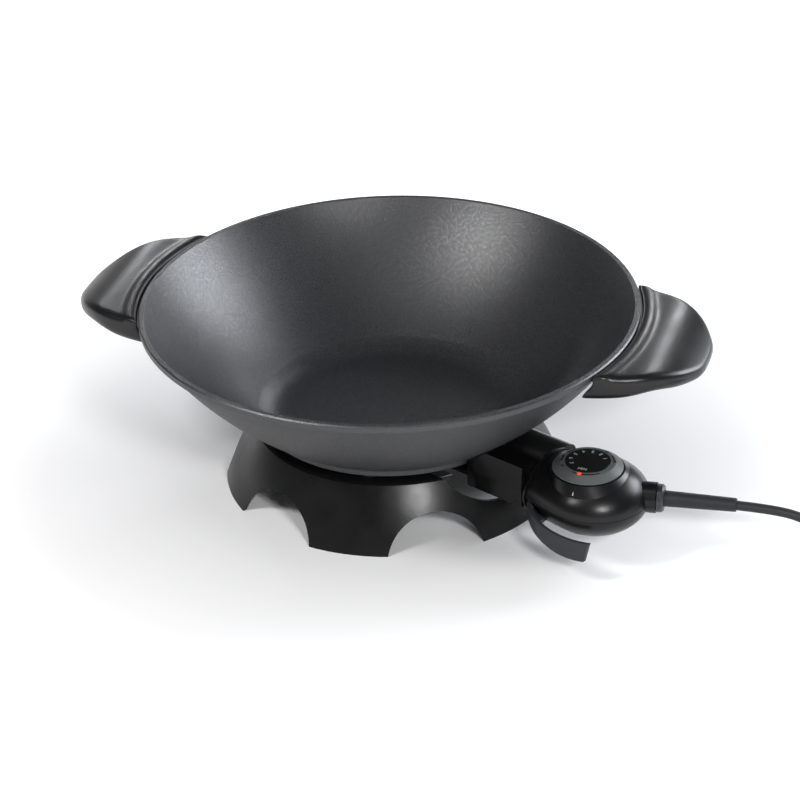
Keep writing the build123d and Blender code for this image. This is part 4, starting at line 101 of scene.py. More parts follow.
# turn at which the cord changes its place in the coil, and the radius and height it goes to
COIL_LAYERS = [(230.0, 0.035, 0.0037), (590.0, 0.035, 0.0108), (950.0, 0.042, 0.0108)]
COIL_CHANGE = 45.0  # degrees that such a change takes


def coil_places():
    """The points of the cord's turns, from where the lead comes in to where the tail leaves."""
    places = []
    steps = round((COIL_END - COIL_START) / COIL_STEP)
    for step in range(steps):
        turn = COIL_START + (COIL_END - COIL_START) * step / steps
        radius, height = COIL_FIRST
        for change, next_radius, next_height in COIL_LAYERS:
            share = min(max((turn - change) / COIL_CHANGE, 0.0), 1.0)
            radius += (next_radius - radius) * share
            height += (next_height - height) * share
        angle = radians(turn)
        places.append(
            (COIL_CENTRE[0] + radius * cos(angle), COIL_CENTRE[1] + radius * sin(angle), height)
        )
    return places


def add_cord(name, places, thickness):
    """A round cord on one smooth line."""
    line = bpy.data.curves.new(name, "CURVE")
    line.dimensions = "3D"
    spline = line.splines.new("NURBS")
    spline.points.add(len(places) - 1)
    for point, place in zip(spline.points, places):
        point.co = (place[0], place[1], place[2], 1.0)
        point.radius = thickness / 2
    spline.order_u = 3
    spline.use_endpoint_u = True
    line.bevel_depth = 1.0
    line.bevel_resolution = 6
    line.resolution_u = 10
    line.use_fill_caps = True
    cord = bpy.data.objects.new(name, line)
    scene.collection.objects.link(cord)
    return cord


mains_cord = add_cord("mains_cord", LEAD_ROUTE + coil_places() + TAIL_ROUTE, CORD_THICKNESS)
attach(mains_cord, "thermostat")
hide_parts("cord_lead", "cord_coil", "cord_tail")

# ------------------------------------------------------------------ materials


class Finish:
    """A material and its shader, with short calls for the textures that the pieces share."""

    def __init__(self, name, colour, roughness, metallic=0.0, specular=0.5):
        self.material = bpy.data.materials.new(name)
        self.material.use_nodes = True
        self.nodes = self.material.node_tree.nodes
        self.links = self.material.node_tree.links
        self.shader = self.nodes["Principled BSDF"]
        self.shader.inputs["Base Color"].default_value = (*colour, 1.0)
        self.shader.inputs["Roughness"].default_value = roughness
        self.shader.inputs["Metallic"].default_value = metallic
        self.shader.inputs["Specular IOR Level"].default_value = specular
        self.place = self.nodes.new("ShaderNodeTexCoord").outputs["Object"]
        self.height = None

    def noise(self, scale, detail=2.0, rough=0.5, stretch=None):
        """A noise of so many waves per metre."""
        texture = self.nodes.new("ShaderNodeTexNoise")
        texture.inputs["Scale"].default_value = scale
        texture.inputs["Detail"].default_value = detail
        texture.inputs["Roughness"].default_value = rough
        if stretch is None:
            self.links.new(self.place, texture.inputs["Vector"])
        else:
            mapping = self.nodes.new("ShaderNodeMapping")
            mapping.inputs["Scale"].default_value = stretch
            self.links.new(self.place, mapping.inputs["Vector"])
            self.links.new(mapping.outputs["Vector"], texture.inputs["Vector"])
        return texture.outputs["Fac"]

    def turned(self, scale):
        """Fine rings as a lathe leaves them round the Z axis."""
        flat = self.nodes.new("ShaderNodeVectorMath")
        flat.operation = "MULTIPLY"
        flat.inputs[1].default_value = (1.0, 1.0, 0.0)
        self.links.new(self.place, flat.inputs[0])
        reach = self.nodes.new("ShaderNodeVectorMath")
        reach.operation = "LENGTH"
        self.links.new(flat.outputs["Vector"], reach.inputs[0])
        rings = self.nodes.new("ShaderNodeTexNoise")
        rings.noise_dimensions = "1D"
        rings.inputs["Scale"].default_value = scale
        rings.inputs["Detail"].default_value = 2.0
        self.links.new(reach.outputs["Value"], rings.inputs["W"])
        return rings.outputs["Fac"]

    def band(self, axis, low, high, output="Object"):
        """Nothing below one level of an axis, all above another; by place or by normal."""
        split = self.nodes.new("ShaderNodeSeparateXYZ")
        place = self.nodes.new("ShaderNodeTexCoord").outputs[output]
        self.links.new(place, split.inputs["Vector"])
        level = self.nodes.new("ShaderNodeMapRange")
        level.inputs["From Min"].default_value = low
        level.inputs["From Max"].default_value = high
        self.links.new(split.outputs[axis], level.inputs["Value"])
        return level.outputs["Result"]

    def both(self, first, second, operation="MULTIPLY"):
        """One value made of two."""
        joined = self.nodes.new("ShaderNodeMath")
        joined.operation = operation
        self.links.new(first, joined.inputs[0])
        self.links.new(second, joined.inputs[1])
        return joined.outputs["Value"]

    def ramp(self, value, low, high, first, last):
        """A colour ramp between two colours, or between two greys given as numbers."""
        ramp = self.nodes.new("ShaderNodeValToRGB")
        ramp.color_ramp.elements[0].position = low
        ramp.color_ramp.elements[1].position = high
        for element, colour in zip(ramp.color_ramp.elements, (first, last)):
            if not isinstance(colour, tuple):
                colour = (colour, colour, colour)
            element.color = (*colour, 1.0)
        self.links.new(value, ramp.inputs["Fac"])
        return ramp.outputs["Color"]

    def colours(self, value, low, high, first, last):
        """The base colour varies with a texture."""
        self.links.new(self.ramp(value, low, high, first, last), self.shader.inputs["Base Color"])
        return self

    def sheen_of(self, value, low, high, first, last):
        """The roughness varies with a texture."""
        self.links.new(self.ramp(value, low, high, first, last), self.shader.inputs["Roughness"])
        return self

    def bump(self, value, distance, strength=1.0):
        """Adds a relief of a given depth in metres."""
        bump = self.nodes.new("ShaderNodeBump")
        bump.inputs["Strength"].default_value = strength
        bump.inputs["Distance"].default_value = distance
        self.links.new(value, bump.inputs["Height"])
        if self.height is not None:
            self.links.new(self.height, bump.inputs["Normal"])
        self.height = bump.outputs["Normal"]
        self.links.new(self.height, self.shader.inputs["Normal"])
        return self


def dress(names, finish):
    """Gives nodes of the frame a finish."""
    for name in names:
        for slot in node[name].material_slots:
            slot.material = finish.material


def coat(piece, finish):
    """Gives a new piece its finish."""
    piece.data.materials.clear()
    piece.data.materials.append(finish.material)


# cast aluminium with a dark, finely speckled non-stick coat
bowl_coat = Finish("bowl_coat", (0.02, 0.021, 0.025), 0.36, specular=0.8)
grain = bowl_coat.noise(1400.0, 3.0, 0.75)
bowl_coat.colours(grain, 0.40, 0.64, (0.003, 0.0032, 0.0036), (0.030, 0.0312, 0.036))
# the inside is smoother than the outside, which isn't polished
speckle = bowl_coat.ramp(bowl_coat.noise(1100.0, 2.0, 0.7), 0.38, 0.62, 0.27, 0.43)
inside = bowl_coat.band("Z", -0.05, 0.15, "Normal")
outside = bowl_coat.ramp(inside, 0.0, 1.0, 0.20, 0.0)
bowl_sheen = bowl_coat.both(speckle, outside, "ADD")
bowl_coat.links.new(bowl_sheen, bowl_coat.shader.inputs["Roughness"])
bowl_coat.bump(grain, 0.00015, 0.8)
turning = bowl_coat.both(bowl_coat.turned(700.0), bowl_coat.band("Z", 0.060, 0.056))
turning = bowl_coat.both(turning, bowl_coat.band("Z", 0.05, -0.05, "Normal"))
bowl_coat.bump(turning, 0.00012, 0.7)
dress(["wok_bowl"], bowl_coat)


def moulded(name, colour, roughness, specular, clouds, sheen, grain, names=()):
    """A moulded plastic or rubber: soft clouds in its sheen, and a fine grain.

    The sheen is the roughness from and to. The grain is its waves per metre, depth and strength.
    """
    finish = Finish(name, colour, roughness, specular=specular)
    finish.sheen_of(finish.noise(clouds, 3.0), 0.3, 0.7, *sheen)
    waves, depth, strength = grain
    finish.bump(finish.noise(waves, 2.0), depth, strength)
    dress(names, finish)
    return finish


# heat-resistant plastics, satin to gloss
moulded(
    "base_plastic", (0.0050, 0.0051, 0.0056), 0.3, 0.3,
    60.0, (0.27, 0.35), (700.0, 0.00003, 0.3), ["base_skirt"],
)
handle_plastic = moulded(
    "handle_plastic", (0.0060, 0.0061, 0.0068), 0.3, 0.32,
    45.0, (0.29, 0.36), (700.0, 0.00003, 0.3), ["left_handle", "right_handle"],
)
moulded(
    "guard_plastic", (0.0026, 0.0027, 0.0030), 0.18, 0.2,
    50.0, (0.15, 0.22), (1800.0, 0.00003, 0.2), ["connector_guard"],
)
moulded(
    "housing_plastic", (0.0036, 0.0037, 0.0043), 0.26, 0.3,
    55.0, (0.28, 0.34), (2000.0, 0.00003, 0.25), ["housing_upper", "housing_lower"],
)
moulded(
    "collar_plastic", (0.012, 0.0125, 0.015), 0.32, 0.6,
    90.0, (0.28, 0.38), (2400.0, 0.00004, 0.3), ["cord_gland"],
)
moulded(
    "lever_plastic", (0.028, 0.029, 0.032), 0.46, 0.25,
    70.0, (0.42, 0.52), (2400.0, 0.00005, 0.35), ["release_lever"],
)
moulded(
    "dial_plastic", (0.080, 0.089, 0.087), 0.42, 0.4,
    120.0, (0.38, 0.48), (3200.0, 0.00004, 0.4), ["dial_knob"],
)

dial_black = Finish("dial_black", (0.0035, 0.0035, 0.0038), 0.4, specular=0.2)
dial_black.sheen_of(dial_black.noise(300.0, 2.0), 0.3, 0.7, 0.36, 0.46)
dress(["dial_face"], dial_black)

lens_red = Finish("lens_red", (0.55, 0.02, 0.012), 0.16)
lens_red.colours(lens_red.noise(900.0, 1.0), 0.35, 0.7, (0.42, 0.012, 0.008), (0.75, 0.05, 0.02))
lens_red.shader.inputs["Emission Color"].default_value = (1.0, 0.05, 0.025, 1.0)
lens_red.shader.inputs["Emission Strength"].default_value = 0.8
dress(["lamp_lens"], lens_red)

neon_glass = Finish("neon_glass", (0.95, 0.55, 0.42), 0.1)
neon_glass.colours(neon_glass.noise(800.0, 1.0), 0.3, 0.7, (0.85, 0.45, 0.33), (1.0, 0.62, 0.5))
dress(["neon_lamp"], neon_glass)

# flexible sleeve, cord and plug
moulded(
    "sleeve_rubber", (0.014, 0.0145, 0.017), 0.5, 0.3,
    200.0, (0.46, 0.57), (2600.0, 0.00005, 0.5), ["strain_relief"],
)
cord_rubber = moulded(
    "cord_rubber", (0.017, 0.0175, 0.019), 0.52, 0.3,
    160.0, (0.47, 0.6), (2200.0, 0.00005, 0.45), ["cord_end"],
)
coat(mains_cord, cord_rubber)
plug_rubber = moulded(
    "plug_rubber", (0.022, 0.023, 0.026), 0.5, 0.5, 110.0, (0.45, 0.58), (2200.0, 0.00005, 0.4)
)

block_plastic = Finish("block_plastic", (0.035, 0.034, 0.033), 0.6)
block_plastic.colours(
    block_plastic.noise(700.0, 3.0), 0.3, 0.7, (0.028, 0.027, 0.026), (0.05, 0.048, 0.046)
)
block_plastic.bump(block_plastic.noise(1800.0, 3.0), 0.00006, 0.5)
dress(["plug_block", "terminal_block", "cord_clamp"], block_plastic)

# metals
pin_nickel = Finish("pin_nickel", (0.62, 0.60, 0.56), 0.22, metallic=1.0)
pin_nickel.sheen_of(pin_nickel.noise(400.0, 3.0), 0.3, 0.7, 0.17, 0.3)
dress(["terminal_pins", "mains_pins"], pin_nickel)

contact_brass = Finish("contact_brass", (0.62, 0.44, 0.19), 0.3, metallic=1.0)
contact_brass.colours(
    contact_brass.noise(500.0, 3.0), 0.3, 0.75, (0.66, 0.48, 0.22), (0.48, 0.32, 0.13)
)
contact_brass.sheen_of(contact_brass.noise(350.0, 3.0), 0.3, 0.7, 0.24, 0.4)
dress(["contact_sleeves", "spindle_bush", "switch_blades", "mains_clips"], contact_brass)

drawn_steel = Finish("drawn_steel", (0.55, 0.55, 0.56), 0.27, metallic=1.0)
drawn_steel.sheen_of(drawn_steel.noise(600.0, 3.0), 0.3, 0.7, 0.22, 0.36)
dress(["probe_tube", "push_rod", "lever_pin", "lever_spring", "dial_spindle"], drawn_steel)

sheet_steel = Finish("sheet_steel", (0.42, 0.43, 0.45), 0.36, metallic=1.0)
sheet_steel.colours(
    sheet_steel.noise(35.0, 4.0, 0.6), 0.3, 0.75, (0.46, 0.47, 0.49), (0.33, 0.32, 0.31)
)
sheet_steel.sheen_of(sheet_steel.noise(900.0, 2.0, stretch=(1.0, 0.05, 1.0)), 0.3, 0.7, 0.3, 0.45)
sheet_steel.bump(sheet_steel.turned(420.0), 0.00006, 0.4)
dress(["heat_shield", "switch_frame"], sheet_steel)

element_steel = Finish("element_steel", (0.16, 0.15, 0.145), 0.5, metallic=0.8)
element_steel.colours(
    element_steel.noise(90.0, 4.0), 0.3, 0.75, (0.2, 0.19, 0.18), (0.09, 0.085, 0.08)
)
element_steel.bump(element_steel.noise(1500.0, 3.0), 0.00005, 0.5)
dress(["heating_element"], element_steel)

screw_zinc = Finish("screw_zinc", (0.42, 0.42, 0.43), 0.34, metallic=1.0)
screw_zinc.sheen_of(screw_zinc.noise(700.0, 3.0), 0.3, 0.7, 0.28, 0.44)
dress(["clamp_screws"], screw_zinc)

white_ceramic = Finish("white_ceramic", (0.78, 0.75, 0.69), 0.55)
white_ceramic.colours(
    white_ceramic.noise(500.0, 4.0), 0.3, 0.75, (0.8, 0.77, 0.71), (0.68, 0.64, 0.57)
)
white_ceramic.bump(white_ceramic.noise(1400.0, 3.0), 0.00004, 0.4)
dress(["insulator_beads", "switch_stack"], white_ceramic)

print_white = Finish("print_white", (0.70, 0.71, 0.71), 0.5)
print_white.colours(
    print_white.noise(2500.0, 2.0), 0.3, 0.7, (0.38, 0.385, 0.385), (0.5, 0.505, 0.505)
)
print_black = Finish("print_black", (0.004, 0.004, 0.004), 0.5, specular=0.2)
print_black.sheen_of(print_black.noise(900.0, 2.0), 0.3, 0.7, 0.45, 0.58)

# ------------------------------------------------------------------ ways of working


def pick(piece, kind, test):
    """Selects the faces or edges of a piece whose middle passes a test, and goes on editing."""
    bpy.ops.object.mode_set(mode="OBJECT")
    mesh = piece.data
    for group in (mesh.vertices, mesh.edges, mesh.polygons):
        for item in group:
            item.select = False
    if kind == "FACE":
        for face in mesh.polygons:
            face.select = test(face.center, face.normal)
    else:
        for edge in mesh.edges:
            ends = [mesh.vertices[n].co for n in edge.vertices]
            edge.select = test((ends[0] + ends[1]) / 2, (ends[1] - ends[0]).normalized())
    bpy.ops.object.mode_set(mode="EDIT")
    bpy.ops.mesh.select_mode(type=kind)


def settle(piece, name, angle=35.0):
    """Ends the editing: the place goes into the mesh and the piece is shaded smooth."""
    if bpy.context.mode != "OBJECT":
        bpy.ops.object.mode_set(mode="OBJECT")
    bpy.ops.object.select_all(action="DESELECT")
    piece.select_set(True)
    bpy.context.view_layer.objects.active = piece
    bpy.ops.object.transform_apply(location=True, rotation=True, scale=True)
    bpy.ops.object.shade_smooth_by_angle(angle=radians(angle))
    piece.name = name
    return piece


def join_pieces(name, pieces):
    """Makes several pieces one object."""
    bpy.ops.object.select_all(action="DESELECT")
    for piece in pieces:
        piece.select_set(True)
    bpy.context.view_layer.objects.active = pieces[0]
    if len(pieces) > 1:
        bpy.ops.object.join()
    joined = bpy.context.active_object
    joined.name = name
    return joined


def cut_away(piece, cutter):
    """Takes one shape out of another."""
    bpy.ops.object.select_all(action="DESELECT")
    piece.select_set(True)
    bpy.context.view_layer.objects.active = piece
    cut = piece.modifiers.new("cut", "BOOLEAN")
    cut.operation = "DIFFERENCE"
    cut.solver = "EXACT"
    cut.object = cutter
    bpy.ops.object.modifier_apply(modifier="cut")
    bpy.data.objects.remove(cutter)


def copy_to(piece, place, turn=0.0):
    """A copy with its own mesh, turned about Z and set down at a place."""
    copy = piece.copy()
    copy.data = piece.data.copy()
    scene.collection.objects.link(copy)
    copy.rotation_euler = (0.0, 0.0, turn)
    copy.location = place
    bpy.ops.object.select_all(action="DESELECT")
    copy.select_set(True)
    bpy.context.view_layer.objects.active = copy
    bpy.ops.object.transform_apply(location=True, rotation=True, scale=True)
    return copy


def lathe(name, profile, steps=96, angle=35.0):
    """A closed turned piece: an outline of radius and height, spun round Z."""
    bpy.ops.object.select_all(action="DESELECT")
    first_radius, first_level = profile[0]
    bpy.ops.mesh.primitive_circle_add(
        vertices=steps, radius=first_radius, fill_type="NOTHING", location=(0.0, 0.0, first_level)
    )
    piece = bpy.context.active_object
    bpy.ops.object.transform_apply(location=True, rotation=False, scale=False)
    bpy.ops.object.mode_set(mode="EDIT")
    bpy.ops.mesh.select_mode(type="EDGE")
    bpy.ops.mesh.select_all(action="SELECT")
    for before, after in zip(profile, profile[1:]):
        share = after[0] / before[0]
        bpy.ops.mesh.extrude_region_move(
            TRANSFORM_OT_translate={"value": (0.0, 0.0, after[1] - before[1])}
        )
        bpy.ops.transform.resize(value=(share, share, 1.0), center_override=(0.0, 0.0, after[1]))
    bpy.ops.mesh.edge_face_add()
    pick(
        piece,
        "EDGE",
        lambda middle, way: abs(middle.z - first_level) < 1e-7
        and 0.99 * first_radius < middle.xy.length < first_radius,
    )
    bpy.ops.mesh.edge_face_add()
    bpy.ops.mesh.select_all(action="SELECT")
    bpy.ops.mesh.normals_make_consistent(inside=False)
    return settle(piece, name, angle)


# ------------------------------------------------------------------ large mouldings


VOXEL = 0.0010  # size of the even mesh's faces
SOFTENING = 36  # how many times that mesh is smoothed


def moulded_copy(name, source, body, finish):
    """The same moulding with soft, even surfaces and slightly rounded edges."""
    bpy.ops.object.select_all(action="DESELECT")
    piece = node[source].copy()
    piece.data = node[source].data.copy()
    scene.collection.objects.link(piece)
    piece.select_set(True)
    bpy.context.view_layer.objects.active = piece
    bpy.ops.object.mode_set(mode="EDIT")
    bpy.ops.mesh.select_all(action="SELECT")
    bpy.ops.mesh.remove_doubles(threshold=0.00002)
    bpy.ops.object.mode_set(mode="OBJECT")
    bpy.ops.mesh.customdata_custom_splitnormals_clear()
    remesh = piece.modifiers.new("even", "REMESH")
    remesh.mode = "VOXEL"
    remesh.voxel_size = VOXEL
    remesh.use_smooth_shade = True
    bpy.ops.object.modifier_apply(modifier="even")
    soften = piece.modifiers.new("soften", "SMOOTH")
    soften.factor = 0.5
    soften.iterations = SOFTENING
    bpy.ops.object.modifier_apply(modifier="soften")
    bpy.ops.object.shade_smooth()
    piece.name = name
    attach(piece, body)
    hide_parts(source)
    coat(piece, finish)


for side in ("left", "right"):
    moulded_copy(side + "_grip", side + "_handle", "wok", handle_plastic)

# ------------------------------------------------------------------ screws with cross recesses


def pan_screw(shank, head, head_height, length):
    """A pan-head screw that points up, its head's seat at the origin."""
    profile = [
        (0.45 * head, -head_height),
        (0.8 * head, -0.86 * head_height),
        (0.95 * head, -0.6 * head_height),
        (head, -0.25 * head_height),
        (head, 0.0),
        (shank, 0.0),
    ]
    level = 0.0
    pitch = 0.8 * shank
    while level < length - 1.6 * shank:
        profile.append((shank, level + 0.3 * pitch))
        profile.append((0.84 * shank, level + 0.65 * pitch))
        level += pitch
        profile.append((shank, level))
    profile.append((0.25 * shank, length))
    screw = lathe("screw", [(r, z) for r, z in profile], steps=28, angle=30.0)
    for turn in (0.0, pi / 2):
        bpy.ops.object.select_all(action="DESELECT")
        bpy.ops.mesh.primitive_cube_add(size=1.0, location=(0.0, 0.0, -head_height))
        slot = bpy.context.active_object
        slot.scale = (1.15 * head, 0.24 * head, 1.1 * head_height)
        slot.rotation_euler = (0.0, 0.0, turn)
        bpy.ops.object.transform_apply(location=True, rotation=True, scale=True)
        cut_away(screw, slot)
    return screw


def screw_set(name, replaced, body, size, places, turns):
    """The screws of one joint, each turned its own way.

    The size is the shank's radius, the head's radius and height, and the shank's length.
    """
    first = pan_screw(*size)
    screws = [copy_to(first, place, radians(turn)) for place, turn in zip(places, turns)]
    bpy.data.objects.remove(first)
    screws = join_pieces(name, screws)
    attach(screws, body)
    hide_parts(replaced)
    coat(screws, screw_zinc)


def by_the_plug(along, aside, height):
    """A point along the plug axis and aside from it."""
    place = PLUG_DIR * along + PLUG_SIDE * aside
    return (place.x, place.y, height)


base_places = [
    by_the_plug(0.084 * cos(radians(turn)), 0.084 * sin(radians(turn)), 0.0407)
    for turn in (180.0, 300.0, 60.0)
]
screw_set(
    "base_screw_set", "base_screws", "wok",
    (0.0020, 0.0038, 0.0024, 0.0078), base_places, (20, 65, 8),
)
handle_places = [(x, y, 0.1219) for x in (0.187, -0.187) for y in (0.0075, -0.0075)]
screw_set(
    "handle_screw_set", "handle_screws", "wok",
    (0.0018, 0.0034, 0.0024, 0.0061), handle_places, (35, 80, 12, 50),
)
guard_places = [by_the_plug(0.084, 0.0245, 0.0435), by_the_plug(0.084, -0.0245, 0.0435)]
screw_set(
    "guard_screw_set", "guard_screws", "wok",
    (0.0018, 0.0034, 0.0024, 0.0045), guard_places, (15, 58),
)
housing_places = [
    by_the_plug(0.1640, 0.0220, 0.0360),
    by_the_plug(0.1900, 0.0290, 0.0360),
    by_the_plug(0.1920, -0.0260, 0.0360),
]
screw_set(
    "housing_screw_set", "housing_screws", "thermostat",
    (0.0014, 0.00245, 0.0024, 0.0145), housing_places, (5, 40, 72),
)

# ------------------------------------------------------------------ mains plug

PLUG_ENTRY = Vector(TAIL_ROUTE[-1])
PLUG_WAY = (PLUG_ENTRY - Vector(TAIL_ROUTE[-2])).normalized()
# radius and distance from the cord's entry: a ribbed sleeve, a waisted grip and the round face
PLUG_SECTION = [(0.0040, 0.0), (0.0050, 0.0004)]
for rib in range(5):
    start = 0.0012 + 0.0046 * rib
    swell = 0.0051 + 0.00035 * rib
    PLUG_SECTION += [
        (swell, start),
        (swell + 0.0001, start + 0.0028),
        (0.0043, start + 0.0032),
        (0.0043, start + 0.0042),
    ]
PLUG_SECTION += [
    (0.0068, 0.0246),
    (0.0098, 0.0252),
    (0.0122, 0.0262),
    (0.0133, 0.0278),
    (0.0130, 0.0310),
    (0.0124, 0.0350),
    (0.0122, 0.0385),
    (0.0127, 0.0410),
    (0.0145, 0.0432),
    (0.0169, 0.0446),
    (0.0180, 0.0456),
    (0.0184, 0.0470),
    (0.0185, 0.0480),
    (0.0185, 0.0550),
    (0.0180, 0.0559),
    (0.0030, 0.0560),
]
plug_body = lathe("plug_body", PLUG_SECTION, steps=72, angle=40.0)
# grip ribs on both flat sides, and the two grooves for the earth clips
grips = []
for side in (1, -1):
    for step in range(4):
        bpy.ops.object.select_all(action="DESELECT")
        bpy.ops.mesh.primitive_cylinder_add(vertices=16, radius=0.0008, depth=0.014)
        grip = bpy.context.active_object
        grip.rotation_euler = (radians(90.0), 0.0, 0.0)
        grip.location = (side * 0.0117, 0.0, 0.0305 + 0.0027 * step)
        bpy.ops.object.transform_apply(location=True, rotation=True, scale=True)
        pick(grip, "EDGE", lambda middle, way: abs(abs(middle.y) - 0.007) < 1e-6)
        bpy.ops.mesh.bevel(offset=0.0006, segments=3)
        grips.append(settle(grip, "grip", 40.0))
for side in (1, -1):
    bpy.ops.object.select_all(action="DESELECT")
    bpy.ops.mesh.primitive_cube_add(size=1.0, location=(0.0, side * 0.0187, 0.0520))
    groove = bpy.context.active_object
    groove.scale = (0.0070, 0.0052, 0.0120)
    bpy.ops.object.transform_apply(location=True, rotation=True, scale=True)
    cut_away(plug_body, groove)
plug_body = join_pieces("plug_body", [plug_body] + grips)
plug_body.rotation_euler = PLUG_WAY.to_track_quat("Z", "Y").to_euler()
plug_body.location = PLUG_ENTRY
settle(plug_body, "plug_body", 40.0)
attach(plug_body, "thermostat")
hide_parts("mains_body")
coat(plug_body, plug_rubber)

# ------------------------------------------------------------------ printing on the dial

FACE_TOP = 0.0720
BAND_LEVEL = 0.0713
NUMBER_RADIUS = 0.0122
PRINT = 0.00006
# each mark and its turn round the dial's axis, from +X
NUMBERS = [("MIN", -95.0)] + [(str(n + 1), 25.0 + 31.0 * n) for n in range(7)]


def printed_text(name, text, size, place, turn):
    """Flat printed characters as a thin mesh."""
    bpy.ops.object.select_all(action="DESELECT")
    bpy.ops.object.text_add(location=(0, 0, 0))
    label = bpy.context.active_object
    label.data.body = text
    label.data.size = size
    label.data.align_x = "CENTER"
    label.data.align_y = "CENTER"
    label.data.extrude = PRINT
    label.data.offset = 0.00004
    bpy.ops.object.convert(target="MESH")
    label.rotation_euler = (0.0, 0.0, turn)
    label.location = place
    bpy.ops.object.transform_apply(location=True, rotation=True, scale=True)
    label.name = name
    return label


def at_dial(radius, turn, height):
    """A point round the dial's axis."""
    return (DIAL.x + radius * cos(radians(turn)), DIAL.y + radius * sin(radians(turn)), height)


def printed_arc(radius, start, stop, width):
    """A thin printed line round the dial."""
    bpy.ops.object.select_all(action="DESELECT")
    bpy.ops.mesh.primitive_plane_add(size=1.0)
    line = bpy.context.active_object
    line.scale = (width, 0.0002, 1.0)
    line.rotation_euler = (0.0, 0.0, radians(start))
    line.location = at_dial(radius, start, BAND_LEVEL)
    bpy.ops.object.transform_apply(location=True, rotation=True, scale=True)
    way = Vector((cos(radians(start)), sin(radians(start)), 0.0))
    ahead = Vector((-way.y, way.x, 0.0)) * (1 if stop > start else -1)
    middle = sum((vertex.co for vertex in line.data.vertices), Vector()) / 4
    pick(
        line,
        "EDGE",
        lambda spot, run: (spot - middle).dot(ahead) > 0.00005 and abs(run.dot(ahead)) < 0.5,
    )
    bpy.ops.mesh.spin(
        steps=max(4, round(abs(stop - start) / 4.0)),
        angle=radians(start - stop),
        center=(DIAL.x, DIAL.y, BAND_LEVEL),
        axis=(0.0, 0.0, -1.0),
    )
    bpy.ops.mesh.select_all(action="SELECT")
    bpy.ops.mesh.remove_doubles(threshold=0.000002)
    bpy.ops.mesh.extrude_region_move(TRANSFORM_OT_translate={"value": (0.0, 0.0, 2 * PRINT)})
    bpy.ops.mesh.select_all(action="SELECT")
    bpy.ops.mesh.normals_make_consistent(inside=False)
    return settle(line, "line", 30.0)


def printed_head(radius, turn, way, size=0.0026):
    """An arrow's head on such a line, pointing one way round."""
    bpy.ops.object.select_all(action="DESELECT")
    bpy.ops.mesh.primitive_circle_add(vertices=3, radius=size / 1.6, fill_type="NGON")
    head = bpy.context.active_object
    head.rotation_euler = (0.0, 0.0, radians(turn + (0.0 if way > 0 else 180.0)))
    head.location = at_dial(radius, turn, BAND_LEVEL)
    bpy.ops.object.transform_apply(location=True, rotation=True, scale=True)
    bpy.ops.object.mode_set(mode="EDIT")
    bpy.ops.mesh.select_all(action="SELECT")
    bpy.ops.mesh.extrude_region_move(TRANSFORM_OT_translate={"value": (0.0, 0.0, 2 * PRINT)})
    bpy.ops.mesh.select_all(action="SELECT")
    bpy.ops.mesh.normals_make_consistent(inside=False)
    return settle(head, "head", 30.0)


labels = []
for text, turn in NUMBERS:
    size = 0.0036 if text == "MIN" else 0.0040
    spot = at_dial(NUMBER_RADIUS, turn, FACE_TOP + PRINT)
    labels.append(printed_text("number_" + text, text, size, spot, radians(turn) + pi / 2))
dial_numbers = join_pieces("dial_numbers", labels)
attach(dial_numbers, "dial")
coat(dial_numbers, print_white)

ARC_RADIUS = 0.0181
arrows = [
    printed_arc(ARC_RADIUS, -82.0, -69.0, 0.0007),
    printed_arc(ARC_RADIUS, -51.0, 10.0, 0.0009),
    printed_head(ARC_RADIUS, 13.0, 1, 0.0034),
    printed_arc(ARC_RADIUS, 37.0, 55.0, 0.0009),
    printed_head(ARC_RADIUS, 57.0, 1, 0.0028),
    printed_arc(ARC_RADIUS, 151.0, 171.0, 0.0009),
    printed_head(ARC_RADIUS, 150.0, -1, 0.0029),
    printed_head(ARC_RADIUS, 172.5, 1, 0.0029),
    printed_arc(ARC_RADIUS, 189.0, 211.0, 0.0009),
    printed_head(ARC_RADIUS, 188.0, -1, 0.0029),
    printed_head(ARC_RADIUS, 212.5, 1, 0.0029),
]
dial_arrows = join_pieces("dial_arrows", arrows)
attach(dial_arrows, "dial")
coat(dial_arrows, print_black)

# the white pointer beside the dial, laid on the housing
MARK_TURN = -97.0


def on_housing(radius):
    """A point of the housing's upper shell, and its normal there."""
    above = Vector(at_dial(radius, MARK_TURN, 0.12))
    found, spot, normal, face = node["housing_upper"].ray_cast(above, Vector((0.0, 0.0, -1.0)))
    return spot, normal


mark_near = on_housing(0.0275)[0]
mark_far, lean = on_housing(0.0305)
bpy.ops.object.select_all(action="DESELECT")
bpy.ops.mesh.primitive_circle_add(vertices=3, radius=0.00115, fill_type="NGON")
pointer_mark = bpy.context.active_object
bpy.ops.object.mode_set(mode="EDIT")
bpy.ops.mesh.select_all(action="SELECT")
bpy.ops.transform.resize(value=(0.62, 1.7, 1.0))
bpy.ops.mesh.extrude_region_move(TRANSFORM_OT_translate={"value": (0.0, 0.0, 2 * PRINT)})
bpy.ops.mesh.select_all(action="SELECT")
bpy.ops.mesh.normals_make_consistent(inside=False)
bpy.ops.object.mode_set(mode="OBJECT")
inward = (mark_near - mark_far).normalized()
aside = inward.cross(lean).normalized()
upright = aside.cross(inward)
laid = pointer_mark.matrix_world.copy()
for row in range(3):
    laid[row][0] = aside[row]
    laid[row][1] = inward[row]
    laid[row][2] = upright[row]
    laid[row][3] = ((mark_near + mark_far) / 2)[row]
pointer_mark.matrix_world = laid
settle(pointer_mark, "pointer_mark", 30.0)
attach(pointer_mark, "thermostat")
coat(pointer_mark, print_white)

# ------------------------------------------------------------------ floor, background and light

bpy.ops.object.select_all(action="DESELECT")
bpy.ops.mesh.primitive_plane_add(size=14.0, location=(0.0, 0.0, 0.0))
floor = bpy.context.active_object
floor.name = "floor"

